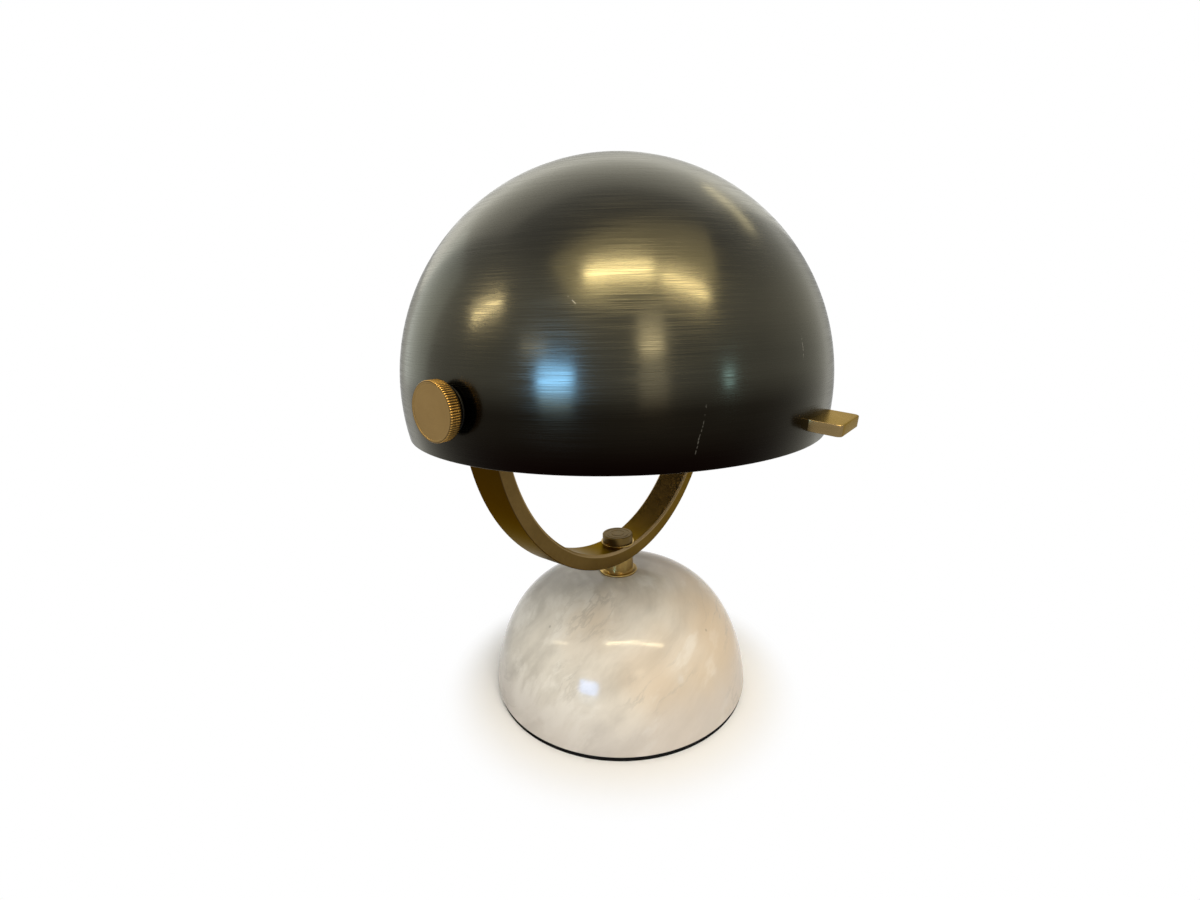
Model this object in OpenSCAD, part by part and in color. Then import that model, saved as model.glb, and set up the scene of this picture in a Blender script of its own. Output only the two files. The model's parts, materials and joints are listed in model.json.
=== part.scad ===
// Dome shade desk lamp: a spun metal dome that tilts between two knurled clamp knobs, carried by a
// bent brass yoke that is bolted through a turned marble base.
// Millimetres. The origin is the centre of the foot on the table, +Z is up, the tab handle of the
// shade points to -Y and the two knobs lie along X.

/* [Marble base] */
// Radius of the stone at the foot
base_r = 94.9; // [85:0.1:105]
// Height of the stone's crown above the table
base_h = 86; // [76:0.5:98]
// Squareness of the stone's profile towards the side
side_power = 3.14; // [2.6:0.02:3.8]
// Squareness of the stone's profile towards the crown
crown_power = 1.83; // [1.6:0.01:2.2]
// Radius of the flat that is ground on the crown
crown_flat_r = 15; // [14.6:0.1:20]
// Break of the stone's lower edge
arris = 1.6; // [0.3:0.1:2.5]
// Thickness of the black foot pad
pad_t = 3; // [2:0.1:5]
// How far the pad's edge lies inside the stone's edge
pad_inset = 1; // [0.5:0.1:4]
// Radius of the steel cover plate under the stone
plate_r = 46; // [42:0.5:60]
// Thickness of the cover plate
plate_t = 1.6; // [1:0.1:3]
// Radius of the wiring recess under the stone
recess_r = 34; // [28:0.5:38]
// Depth of the wiring recess, measured from the stone's underside
recess_depth = 26; // [22:0.5:34]

/* [Cord inlet] */
// Height of the inlet's axis above the table
inlet_z = 16; // [14:0.5:18]
// Radius of the cord hole in the inlet bush
inlet_bore_r = 3.2; // [2.6:0.1:3.8]
// Radius of the bush's sleeve in the stone
inlet_sleeve_r = 5.2; // [4.8:0.1:6]
// Length of the bush's sleeve behind its flange
inlet_sleeve_len = 14; // [8:0.5:20]
// Radius of the bush's flange
inlet_flange_r = 8; // [7:0.1:10]
// Thickness of the bush's flange
inlet_flange_t = 2; // [1.4:0.1:3]

/* [Centre post] */
// Radius of the hollow threaded rod
rod_r = 5; // [4.5:0.1:6]
// Radius of the wire way in the rod
rod_bore_r = 3.6; // [2.5:0.1:3.8]
// Radius of the large washer in the recess
washer_r = 16; // [13:0.5:22]
// Thickness of the large washer
washer_t = 2; // [1.5:0.1:3]
// Width across flats of the rod's nut
nut_flats = 17; // [16:0.5:22]
// Height of the rod's nut
nut_t = 5; // [4:0.1:7]
// How far the rod stands out below its nut
rod_tail = 4; // [1:0.5:5]
// Radius of the brass collar between stone and yoke
collar_r = 11.2; // [9:0.1:13]
// Radius of the collar's foot flange
collar_flange_r = 14.2; // [13:0.1:14.5]
// Thickness of the collar's foot flange
collar_flange_t = 1.8; // [1.2:0.1:2.5]
// Height of the collar from the stone to the yoke
collar_h = 12.4; // [10:0.1:20]
// Radius of the saddle washer that lies in the yoke
saddle_r = 12.2; // [11:0.1:13]
// Thickness of the saddle washer at its centre
saddle_t = 1; // [1:0.1:2]
// Radius of the cap nut on the rod
cap_r = 11.1; // [9:0.1:11.5]
// Height of the cap nut
cap_h = 5.8; // [5:0.1:9]

/* [Yoke] */
// Gap between an arm and the dome's radius, which the bush spans
arm_gap = 16; // [14:0.1:20]
// Thickness of the yoke's tube, measured outwards
yoke_t = 10.3; // [9:0.1:12]
// Width of the yoke's tube, along its arc's axis
yoke_w = 24.2; // [22:0.2:28]
// Wall of the yoke's tube
yoke_wall = 1.6; // [1.2:0.1:2.2]
// Chamfer along the yoke's inner edges
yoke_inner_chamfer = 1.5; // [0.5:0.1:1.8]
// Chamfer along the yoke's outer edges
yoke_outer_chamfer = 0.5; // [0.3:0.1:1.2]
// Length of the arms from the end of the arc to the pivot axis
arm_straight = 8.8; // [8.4:0.1:14]
// Length of the tongue that holds an arm's end piece in the tube
tongue_len = 5; // [3:0.5:6]
// Half length of the block inside the foot of the yoke
block_half_len = 14; // [9:0.5:20]

/* [Shade] */
// Outer radius of the dome
shade_r = 140; // [130:0.5:155]
// Wall of the spun dome
shade_wall = 1; // [0.8:0.1:1.4]
// Depth of the rim below the dome's centre
skirt = 26.7; // [18:0.1:30]
// Height of the pivot axis above the dome's centre
pivot_rise = 2.5; // [0:0.1:3]

/* [Tab handle] */
// Width of the tab
tab_w = 34.5; // [28:0.5:44]
// Thickness of the tab
tab_t = 6.5; // [5.6:0.1:8]
// How far the tab reaches past the dome's radius
tab_reach = 16.1; // [12:0.1:22]
// Angle by which the tab slopes down, pointing straight away from the dome's centre
tab_fall = 5.5; // [4:0.1:7]
// Radius of the tab's corners, seen from above
tab_corner_r = 3.2; // [1:0.1:6]
// Break of the tab's upper and lower edges
tab_edge = 0.5; // [0.2:0.1:1]
// Distance between the tab's two screws
tab_screw_spacing = 18; // [14:0.5:22]

/* [Clamp knobs] */
// Radius of a knob over its knurl
knob_r = 15.5; // [13:0.1:18]
// Thickness of a knob's knurled disc
knob_t = 6.5; // [5.5:0.1:9]
// Gap between the dome and the back of a knob's disc
knob_standoff = 4.5; // [3.5:0.1:7]
// Number of ridges in the knurl
knurl_count = 72; // [48:1:90]
// Depth of the knurl
knurl_depth = 0.5; // [0.2:0.05:0.7]
// Width of the plain lip in front of the knurl
knob_lip = 0.7; // [0.4:0.1:1.5]
// Radius of the boss on the back of a knob
boss_r = 7.5; // [6:0.1:10]
// Radius of the clamp stud
stud_r = 3; // [2.5:0.1:3.5]
// Radius of the washer between the dome and a knob
knob_washer_r = 12.5; // [10:0.1:13]
// Thickness of the washer between the dome and a knob
knob_washer_t = 1; // [0.8:0.1:1.5]

/* [Pivot bushes] */
// Radius of a bush's waist
bush_r = 7; // [6.2:0.1:8]
// Radius of a bush's shoulder, on which the friction washer lies
bush_shoulder_r = 10; // [9:0.1:11]
// Thickness of a bush's shoulder
bush_shoulder_t = 2.4; // [1.5:0.1:3.5]
// Radius of the spigot on which the dome turns
spigot_r = 5.2; // [4.6:0.1:5.6]
// Thickness of the friction washer inside the dome
friction_washer_t = 0.8; // [0.5:0.1:1.2]

/* [Lampholder] */
// Depth of the carrying bar's top face below the pivot axis
bar_drop = 12; // [11:0.5:14]
// Thickness of the carrying bar
bar_t = 2.5; // [2:0.1:3]
// Width of the carrying bar
bar_w = 20; // [18:0.5:23]
// Outer radius of the bends at the bar's ends
bar_bend_r = 4; // [3.5:0.1:5]
// Outer radius of the lampholder
holder_r = 17; // [16.6:0.1:19]
// Height of the lampholder's cup
cup_h = 14; // [12:0.5:16]
// Height of the lampholder's sleeve
sleeve_h = 30; // [27:0.5:34]
// Wall of the lampholder's cup and sleeve
holder_wall = 1.2; // [1:0.1:1.4]
// Inner radius of the lampholder's screw shell
screw_shell_r = 13.6; // [13.5:0.05:13.9]
// Radius of the bulb's screw cap over its thread
lamp_cap_r = 13.2; // [13:0.05:13.3]
// Largest radius of the bulb's glass
bulb_r = 30; // [24:0.5:32]
// Whole length of the bulb
bulb_len = 108; // [95:1:112]
// Wall of the bulb's glass
glass_t = 1; // [0.8:0.1:1.5]

/* [Clearances] */
// Gap between pieces that move past each other
move_gap = 0.3; // [0.3:0.05:0.5]
// Radial clearance of a shaft that turns in its hole
turn_clearance = 0.05; // [0.03:0.01:0.09]
// Radial clearance of a bolt or rod that passes through a hole
bolt_clearance = 0.2; // [0.1:0.05:0.4]
// Gap between seated pieces whose curved faces would else touch
seat_gap = 0.05; // [0.02:0.01:0.1]

/* [Hidden] */
$fn = 96;

// a cut runs this far past the face that it opens
over = 1;

// the stone's profile obeys (r / base_r)^side_power + (z / base_h)^crown_power = 1
profile_steps = 36;
foot_angle = asin(pow(pad_t / base_h, crown_power / 2));
crown_angle = acos(pow(crown_flat_r / base_r, side_power / 2));
function stone_r(a) = base_r * pow(cos(a), 2 / side_power);
function stone_z(a) = base_h * pow(sin(a), 2 / crown_power);
foot_r = stone_r(foot_angle);
crown_z = stone_z(crown_angle);
recess_top = pad_t + recess_depth;
plate_rebate = plate_t;

// the cover plate's screws
plate_screw_count = 4;
plate_screw_r = 2;
plate_screw_head_r = 3.8;
plate_screw_head_t = 1.5;
plate_screw_len = 11;
plate_screw_ring_r = (plate_r + recess_r) / 2;

// the cord inlet lies at the back of the stone, a little proud of it
inlet_proud = 0.4;
inlet_angle = asin(pow(inlet_z / base_h, crown_power / 2));
inlet_face_y = stone_r(inlet_angle) + inlet_proud;
inlet_seat_y = inlet_face_y - inlet_flange_t;

// the centre post, from the recess up to the cap nut
rod_bottom = recess_top - washer_t - nut_t - rod_tail;
yoke_out_r = shade_r - arm_gap;
yoke_in_r = yoke_out_r - yoke_t;
yoke_mid_r = yoke_in_r + yoke_t / 2;
yoke_arc_z = crown_z + collar_h + yoke_out_r;
yoke_floor_z = yoke_arc_z - yoke_in_r;
cap_bottom = yoke_floor_z + saddle_t;
cap_top = cap_bottom + cap_h;
cap_crown = 1.5;
rod_top = cap_top - cap_crown;

// the pivot axis and the dome's centre
pivot_z = yoke_arc_z + arm_straight;
shade_z = pivot_z - pivot_rise;
shade_in_r = shade_r - shade_wall;
rim_z = shade_z - skirt;

// faces of the pivot stack, as distances from the lamp's middle plane
arm_face = yoke_out_r;
function sphere_x(r, from_axis) = sqrt(r * r - pow(from_axis, 2));
dome_face = sphere_x(shade_r, pivot_rise);
friction_face = sphere_x(shade_in_r, pivot_rise + bush_shoulder_r) - move_gap;
shoulder_face = friction_face - friction_washer_t;
spigot_face = dome_face;
knob_washer_face = dome_face + move_gap;
boss_face = knob_washer_face + knob_washer_t;
knob_back = shade_r + knob_standoff;
knob_front = knob_back + knob_t;
knob_floor = 2;
stud_outer = knob_front - knob_floor;
knob_chamfer = 0.4;

// the arms' end pieces start below the pivot, above the end of the arc
head_start = 0.8;
head_z = yoke_arc_z + head_start;
tongue_gap = 0.25;

// the bar that carries the lampholder between the arms, and its end screws
bar_z = pivot_z - bar_drop;
ear_face = yoke_in_r - seat_gap;
bar_screw_r = 1.5;
bar_screw_head_r = 2.8;
bar_screw_head_t = 2;
bar_screw_y = 6.4;
bar_screw_z = pivot_z - 4.5;
bar_screw_depth = 6;
stud_recess = 0.8;
stud_inner = ear_face - bar_t + stud_recess;

// the lampholder, as heights above the bar
nipple_up = 6;
nipple_nut_t = 4;
nipple_down = bar_t + nipple_nut_t + 1;
nipple_nut_flats = 14;
cup_floor = 1.5;
core_top = cup_h - 1;
shell_wall = 0.5;
shell_h = 25;
contact_t = 1.2;
lamp_z = bar_z + core_top + contact_t;
lamp_cap_low = 5.2;
lamp_cap_high = 27;
lamp_throat_r = 11.4;
thread_pitch = 3.6;
thread_depth = 0.6;
tip_t = 1.4;
neck_r = 13.6;
neck_z = 32;
bulb_z = bulb_len - bulb_r;

// the wire's way out of the yoke, on the right arm below the bar
grommet_angle = 8;
grommet_r = 4;
grommet_bore_r = 2.2;
grommet_lip_r = 5.4;
grommet_lip_t = 1.2;

// the tab's screws
tab_screw_r = 2;
tab_screw_head_r = 3.6;
tab_screw_head_t = 2.2;
tab_screw_depth = 9;
tab_end_y = -(shade_r + tab_reach);
// the tab's blank starts this deep inside the dome's radius, before it is hollowed to fit
tab_root_depth = 8;
tab_root_y = -(shade_r - tab_root_depth);
tab_seat_y = -sqrt(pow(shade_in_r, 2) - pow(tab_screw_spacing / 2 + tab_screw_head_r, 2)
    - pow(tab_screw_head_r, 2));

// points along an arc, as a list for a polygon
function arc(cx, cy, r, a0, a1, n) =
    [for (i = [0:n]) [cx + r * cos(a0 + (a1 - a0) * i / n), cy + r * sin(a0 + (a1 - a0) * i / n)]];

// smooth passage from value a with slope ma to value b with slope mb
function ease(a, ma, b, mb, t) =
    a * (1 + 2 * t) * pow(1 - t, 2) + ma * t * pow(1 - t, 2) + b * t * t * (3 - 2 * t)
    - mb * t * t * (1 - t);

// closed section of the yoke's tube, drawn out from the arc's centre
function tube_section(grow) = [
    [yoke_in_r - grow + yoke_inner_chamfer, -yoke_w / 2 - grow],
    [yoke_out_r + grow - yoke_outer_chamfer, -yoke_w / 2 - grow],
    [yoke_out_r + grow, -yoke_w / 2 - grow + yoke_outer_chamfer],
    [yoke_out_r + grow, yoke_w / 2 + grow - yoke_outer_chamfer],
    [yoke_out_r + grow - yoke_outer_chamfer, yoke_w / 2 + grow],
    [yoke_in_r - grow + yoke_inner_chamfer, yoke_w / 2 + grow],
    [yoke_in_r - grow, yoke_w / 2 + grow - yoke_inner_chamfer],
    [yoke_in_r - grow, -yoke_w / 2 - grow + yoke_inner_chamfer]];

// turns a shape that is drawn along Z so that it runs outwards along +X at the pivot axis
module along_pivot() {
    translate([0, 0, pivot_z]) rotate([0, 90, 0]) children();
}

// the same shape on the lamp's left side
module left() {
    mirror([1, 0, 0]) children();
}

module ring(outer_r, inner_r, height) {
    difference() {
        cylinder(r = outer_r, h = height);
        translate([0, 0, -over]) cylinder(r = inner_r, h = height + 2 * over);
    }
}

module hex_nut(flats, bore_r, height) {
    edge_break = 0.8;
    corner_r = flats / sqrt(3);
    difference() {
        intersection() {
            cylinder(r = corner_r, h = height, $fn = 6);
            rotate_extrude() polygon([[0, 0], [corner_r - edge_break, 0], [corner_r, edge_break / 2],
                [corner_r, height - edge_break / 2], [corner_r - edge_break, height], [0, height]]);
        }
        translate([0, 0, -over]) cylinder(r = bore_r, h = height + 2 * over);
    }
}

// pan head screw: the head lies above z = 0, the shank runs down
module pan_screw(shank_r, length, head_r, head_t) {
    slot_w = head_r * 0.32;
    slot_floor = head_t * 0.55;
    edge_r = head_t * 0.7;
    difference() {
        union() {
            translate([0, 0, -length]) cylinder(r = shank_r, h = length);
            rotate_extrude() polygon(concat([[0, 0], [head_r, 0]],
                arc(head_r - edge_r, head_t - edge_r, edge_r, 0, 90, 6), [[0, head_t]]));
        }
        translate([-head_r, -slot_w / 2, slot_floor]) cube([2 * head_r, slot_w, head_t]);
    }
}

module base_pad() {
    edge = 0.4;
    pad_r = foot_r - pad_inset;
    color("#141314")
        rotate_extrude() polygon([[0, 0], [pad_r - edge, 0], [pad_r, edge], [pad_r - edge, pad_t], [0, pad_t]]);
}

module at_plate_screws() {
    for (i = [0:plate_screw_count - 1])
        rotate([0, 0, 45 + i * 360 / plate_screw_count])
            translate([plate_screw_ring_r, 0, pad_t]) children();
}

module base_plate() {
    color("#3b3d40")
        difference() {
            translate([0, 0, pad_t]) cylinder(r = plate_r, h = plate_t);
            at_plate_screws() {
                translate([0, 0, -over]) cylinder(r = plate_screw_r + bolt_clearance, h = plate_t + 2 * over);
                cylinder(r1 = plate_screw_head_r, r2 = plate_screw_r, h = plate_screw_head_t);
            }
        }
}

module plate_screws() {
    color("#8f9194")
        at_plate_screws()
            rotate_extrude() polygon([[0, 0], [plate_screw_head_r - seat_gap, 0],
                [plate_screw_r - seat_gap, plate_screw_head_t], [plate_screw_r - seat_gap, plate_screw_len],
                [0, plate_screw_len]]);
}

// turned stone: profile from the formula, with a recess, a rod bore and the cord's way to the back
module marble_base() {
    profile = [for (i = [0:profile_steps])
        let (a = foot_angle + (crown_angle - foot_angle) * i / profile_steps) [stone_r(a), stone_z(a)]];
    rising = [for (p = profile) if (p[1] > pad_t + arris) p];
    color("#d9d2c6")
        difference() {
            rotate_extrude() polygon(concat([[0, pad_t]],
                arc(foot_r - arris, pad_t + arris, arris, -90, 0, 6), rising, [[0, crown_z]]));
            translate([0, 0, pad_t - over]) cylinder(r = plate_r + bolt_clearance, h = plate_rebate + over);
            translate([0, 0, pad_t]) cylinder(r = recess_r, h = recess_depth);
            cylinder(r = rod_r + bolt_clearance, h = base_h + over);
            at_plate_screws() cylinder(r = plate_screw_r, h = plate_screw_len + over);
            translate([0, 0, inlet_z]) rotate([-90, 0, 0]) {
                cylinder(r = inlet_sleeve_r + seat_gap, h = base_r + over);
                translate([0, 0, inlet_seat_y]) cylinder(r = inlet_flange_r + bolt_clearance, h = base_r);
            }
        }
}

// flanged bush that lines the cord's way out of the stone
module cord_bush() {
    lip = 0.7;
    mouth_r = inlet_bore_r + lip;
    color("#6d5529")
        translate([0, inlet_seat_y, inlet_z]) rotate([-90, 0, 0])
            rotate_extrude() polygon([[inlet_bore_r, -inlet_sleeve_len], [inlet_sleeve_r, -inlet_sleeve_len],
                [inlet_sleeve_r, 0], [inlet_flange_r, 0], [inlet_flange_r, inlet_flange_t - lip],
                [inlet_flange_r - lip, inlet_flange_t], [mouth_r, inlet_flange_t],
                [inlet_bore_r, inlet_flange_t - lip]]);
}

module base_washer() {
    color("#a5a7a9")
        translate([0, 0, recess_top - washer_t]) ring(washer_r, rod_r + bolt_clearance, washer_t);
}

module base_nut() {
    color("#a5a7a9")
        translate([0, 0, recess_top - washer_t - nut_t]) hex_nut(nut_flats, rod_r + seat_gap, nut_t);
}

// hollow rod with a side slot where the wire turns into the yoke's tube
module threaded_rod() {
    slot_w = 4;
    color("#b08a45")
        difference() {
            translate([0, 0, rod_bottom]) cylinder(r = rod_r, h = rod_top - rod_bottom);
            translate([0, 0, rod_bottom - over])
                cylinder(r = rod_bore_r, h = yoke_floor_z - rod_bottom + over);
            translate([0, -slot_w / 2, yoke_floor_z - yoke_t + yoke_wall])
                cube([rod_r + over, slot_w, yoke_t - 2 * yoke_wall]);
        }
}

// the yoke's own cylinder faces, for the pieces that are shaped to sit on them
module yoke_cylinder(r) {
    translate([0, 0, yoke_arc_z]) rotate([90, 0, 0])
        cylinder(r = r, h = 4 * yoke_w, center = true, $fn = 720);
}

// collar with a flared foot; its top is hollowed to the yoke's outer curve
module post_collar() {
    fillet = 0.9;
    rim_round = 0.7;
    top = collar_h + 2;
    color("#8a6d35")
        difference() {
            translate([0, 0, crown_z])
                rotate_extrude() polygon(concat(
                    [[rod_r + bolt_clearance, 0]],
                    arc(collar_flange_r - rim_round, rim_round, rim_round, -90, 0, 5),
                    arc(collar_flange_r - rim_round, collar_flange_t - rim_round, rim_round, 0, 90, 5),
                    arc(collar_r + fillet, collar_flange_t + fillet, fillet, 270, 180, 6),
                    [[collar_r, top], [rod_r + bolt_clearance, top]]));
            yoke_cylinder(yoke_out_r + seat_gap);
        }
}

// washer whose underside is curved to lie in the yoke
module saddle_washer() {
    color("#a8843f")
        intersection() {
            translate([0, 0, cap_bottom - 3 * saddle_t]) ring(saddle_r, rod_r + bolt_clearance, 3 * saddle_t);
            yoke_cylinder(yoke_in_r - seat_gap);
        }
}

// turned cap nut: chamfered rim and two shallow rings in its top face
module post_cap() {
    edge = 0.7;
    groove = 0.25;
    groove_r = [cap_r * 0.42, cap_r * 0.74];
    color("#9a7a3e")
        translate([0, 0, cap_bottom])
            difference() {
                rotate_extrude() polygon(concat(
                    [[0, 0], [cap_r - edge / 2, 0], [cap_r, edge / 2]],
                    arc(cap_r - edge, cap_h - edge, edge, 0, 90, 5),
                    [for (k = [1:-1:0]) each [[groove_r[k] + groove, cap_h], [groove_r[k], cap_h - groove],
                        [groove_r[k] - groove, cap_h]]],
                    [[0, cap_h]]));
                translate([0, 0, -over]) cylinder(r = rod_r + seat_gap, h = cap_h - cap_crown + over);
            }
}

// bent rectangular tube: half a ring, short straight arms, open ends and a hole for the rod
module yoke() {
    color("#80632c")
        difference() {
            yoke_solid(0);
            yoke_solid(-yoke_wall);
            translate([0, 0, yoke_floor_z - yoke_t - over])
                cylinder(r = rod_r + bolt_clearance, h = yoke_t + 3 * over);
            grommet_place() translate([0, 0, -yoke_wall - over])
                cylinder(r = grommet_r + seat_gap, h = yoke_wall + 2 * over);
        }
}

module yoke_solid(grow) {
    lift = grow < 0 ? over : 0;
    translate([0, 0, yoke_arc_z]) rotate([90, 0, 0]) rotate([0, 0, 180])
        rotate_extrude(angle = 180, $fn = 180) polygon(tube_section(grow));
    for (side = [0, 1])
        mirror([side, 0, 0]) translate([0, 0, yoke_arc_z])
            linear_extrude(head_z - yoke_arc_z + lift) polygon(tube_section(grow));
}

// block inside the foot of the tube, so that the cap nut can't crush it
module yoke_block() {
    half_angle = asin(block_half_len / yoke_mid_r);
    fit = -yoke_wall - seat_gap;
    wire_h = 2.6;
    wire_w = 4;
    color("#9c8d62")
        difference() {
            translate([0, 0, yoke_arc_z]) rotate([90, 0, 0]) rotate([0, 0, 270 - half_angle])
                rotate_extrude(angle = 2 * half_angle, $fn = 180) polygon(tube_section(fit));
            translate([0, 0, yoke_floor_z - yoke_t - over])
                cylinder(r = rod_r + seat_gap, h = yoke_t + 2 * over);
            translate([0, -wire_w / 2, yoke_floor_z - yoke_t / 2 - wire_h / 2])
                cube([2 * block_half_len, wire_w, wire_h]);
        }
}

// solid end piece of an arm: round head around the pivot, tongue down into the tube
module yoke_end() {
    color("#80632c")
        difference() {
            union() {
                translate([0, 0, head_z]) linear_extrude(pivot_z - head_z) polygon(tube_section(0));
                along_pivot() rotate([0, 0, 90]) rotate_extrude(angle = 180) polygon([[0, yoke_in_r],
                    [yoke_w / 2 - yoke_inner_chamfer, yoke_in_r],
                    [yoke_w / 2, yoke_in_r + yoke_inner_chamfer],
                    [yoke_w / 2, yoke_out_r - yoke_outer_chamfer],
                    [yoke_w / 2 - yoke_outer_chamfer, yoke_out_r], [0, yoke_out_r]]);
                translate([0, 0, head_z - tongue_len]) linear_extrude(tongue_len + over)
                    polygon(tube_section(-yoke_wall - tongue_gap));
            }
            along_pivot() translate([0, 0, yoke_in_r - over])
                cylinder(r = stud_r + turn_clearance, h = yoke_t + 2 * over);
            at_bar_screws() cylinder(r = bar_screw_r + seat_gap, h = bar_screw_depth + over);
        }
}

module yoke_end_left() {
    left() yoke_end();
}

module yoke_end_right() {
    yoke_end();
}

// places a shape on the right arm's inner face, with +Z pointing to the arc's centre
module grommet_place() {
    translate([0, 0, yoke_arc_z]) rotate([0, grommet_angle, 0]) translate([yoke_in_r, 0, 0])
        rotate([0, -90, 0]) children();
}

// rubber ring where the wire leaves the tube for the lampholder
module wire_grommet() {
    seat = 2 * seat_gap;
    lip_edge = grommet_lip_t * 0.7;
    tail = -yoke_wall - grommet_lip_t;
    color("#1b1b1b")
        grommet_place()
            rotate_extrude() polygon(concat(
                [[grommet_bore_r, tail], [grommet_r, tail], [grommet_r, seat], [grommet_lip_r, seat]],
                arc(grommet_lip_r - lip_edge, grommet_lip_t - lip_edge + seat, lip_edge, 0, 90, 5),
                [[grommet_bore_r, grommet_lip_t]]));
}

// turned bush between an arm and the dome: waist, shoulder, and the spigot in the dome's hole
module pivot_bush() {
    waist = 2;
    foot_t = 2;
    waist_low = arm_face + foot_t;
    waist_high = shoulder_face - bush_shoulder_t;
    color("#9a7a3e")
        along_pivot() rotate_extrude() polygon(concat(
            [[stud_r + bolt_clearance, arm_face], [bush_r + waist, arm_face], [bush_r + waist, waist_low]],
            arc(bush_r + waist, waist_low + waist, waist, 270, 180, 6),
            arc(bush_r + waist, waist_high - waist, waist, 180, 90, 6),
            [[bush_shoulder_r, waist_high], [bush_shoulder_r, shoulder_face], [spigot_r, shoulder_face],
                [spigot_r, spigot_face], [stud_r + bolt_clearance, spigot_face]]));
}

module pivot_bush_left() {
    left() pivot_bush();
}

module pivot_bush_right() {
    pivot_bush();
}

module friction_washer() {
    color("#2b2a28")
        along_pivot() translate([0, 0, shoulder_face])
            ring(bush_shoulder_r, spigot_r + seat_gap, friction_washer_t);
}

module friction_washer_left() {
    left() friction_washer();
}

module friction_washer_right() {
    friction_washer();
}

// places the end screws' axes on the right ear, with +Z pointing outwards along X
module at_bar_screws() {
    for (y = [-bar_screw_y, bar_screw_y])
        translate([ear_face, y, bar_screw_z]) rotate([0, 90, 0]) children();
}

// steel strap from arm to arm, bent up at both ends into ears that lie on the arms
module holder_bar() {
    in_r = bar_bend_r - bar_t;
    bend_x = ear_face - bar_bend_r;
    bend_z = bar_z - bar_t + bar_bend_r;
    side = concat([[0, bar_z - bar_t]], arc(bend_x, bend_z, bar_bend_r, 270, 360, 8),
        [[ear_face, pivot_z], [ear_face - bar_t, pivot_z]], arc(bend_x, bend_z, in_r, 360, 270, 8),
        [[0, bar_z]]);
    color("#b9bbbd")
        difference() {
            for (k = [0, 1]) mirror([k, 0, 0]) {
                rotate([90, 0, 0]) linear_extrude(bar_w, center = true) polygon(side);
                along_pivot() translate([0, 0, ear_face - bar_t]) cylinder(r = bar_w / 2, h = bar_t);
            }
            for (k = [0, 1]) mirror([k, 0, 0]) {
                along_pivot() translate([0, 0, ear_face - bar_t - over])
                    cylinder(r = stud_r + 2 * bolt_clearance, h = bar_t + 2 * over);
                at_bar_screws() translate([0, 0, -bar_t - over])
                    cylinder(r = bar_screw_r + bolt_clearance, h = bar_t + 2 * over);
            }
            translate([0, 0, bar_z - bar_t - over])
                cylinder(r = rod_r + bolt_clearance, h = bar_t + 2 * over);
        }
}

module bar_screws() {
    color("#8f9194")
        for (k = [0, 1]) mirror([k, 0, 0])
            at_bar_screws() translate([0, 0, -bar_t]) mirror([0, 0, 1])
                pan_screw(bar_screw_r, bar_t + bar_screw_depth, bar_screw_head_r, bar_screw_head_t);
}

// short hollow threaded tube that holds the lampholder on the bar
module holder_nipple() {
    color("#b08a45")
        translate([0, 0, bar_z - nipple_down]) ring(rod_r, rod_bore_r, nipple_down + nipple_up);
}

module holder_nut() {
    color("#a5a7a9")
        translate([0, 0, bar_z - bar_t - nipple_nut_t])
            hex_nut(nipple_nut_flats, rod_r + seat_gap, nipple_nut_t);
}

module holder_cup() {
    round_r = 4;
    in_r = round_r - holder_wall;
    color("#1f1e1d")
        translate([0, 0, bar_z])
            rotate_extrude() polygon(concat([[rod_r + bolt_clearance, 0]],
                arc(holder_r - round_r, round_r, round_r, 270, 360, 7),
                [[holder_r, cup_h], [holder_r - holder_wall, cup_h]],
                arc(holder_r - round_r, cup_floor + in_r, in_r, 360, 270, 7),
                [[rod_r + bolt_clearance, cup_floor]]));
}

// porcelain core in the cup, with a pocket over the nipple and two wire holes
module holder_core() {
    foot_t = 5;
    foot_step = 4;
    core_r = holder_r - holder_wall - bolt_clearance;
    pocket_r = rod_r + 1.5;
    wire_r = 1.6;
    wire_x = 5.5;
    color("#ece7dc")
        translate([0, 0, bar_z])
            difference() {
                union() {
                    translate([0, 0, cup_floor])
                        cylinder(r = core_r - foot_step, h = core_top - cup_floor);
                    translate([0, 0, foot_t + cup_floor])
                        cylinder(r = core_r, h = core_top - foot_t - cup_floor);
                }
                translate([0, 0, -over]) cylinder(r = pocket_r, h = nipple_up + 2 * over);
                for (k = [-1, 1])
                    translate([k * wire_x, 0, 0]) cylinder(r = wire_r, h = core_top - contact_t);
            }
}

// sprung brass tongue under the bulb's tip
module holder_contact() {
    head_r = 4.2;
    strip_w = 5;
    strip_len = 9.5;
    strip_t = contact_t / 2;
    color("#c79a4b")
        translate([0, 0, bar_z + core_top]) {
            cylinder(r = head_r, h = contact_t);
            translate([-strip_len, -strip_w / 2, 0]) cube([strip_len, strip_w, strip_t]);
        }
}

module holder_screw_shell() {
    flange_in = 10.5;
    color("#c79a4b")
        translate([0, 0, bar_z + core_top])
            rotate_extrude() polygon([[flange_in, 0], [screw_shell_r + shell_wall, 0],
                [screw_shell_r + shell_wall, shell_h], [screw_shell_r, shell_h], [screw_shell_r, shell_wall],
                [flange_in, shell_wall]]);
}

// sleeve with a beaded foot and a rolled mouth
module holder_sleeve() {
    bead = 1;
    in_r = holder_r - holder_wall;
    color("#1f1e1d")
        translate([0, 0, bar_z + cup_h])
            rotate_extrude() polygon(concat([[in_r, 0], [holder_r, 0]],
                arc(holder_r, bead * 1.6, bead, -90, 90, 8),
                arc(holder_r, sleeve_h - bead, bead, -90, 90, 8),
                [[in_r, sleeve_h]]));
}

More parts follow.
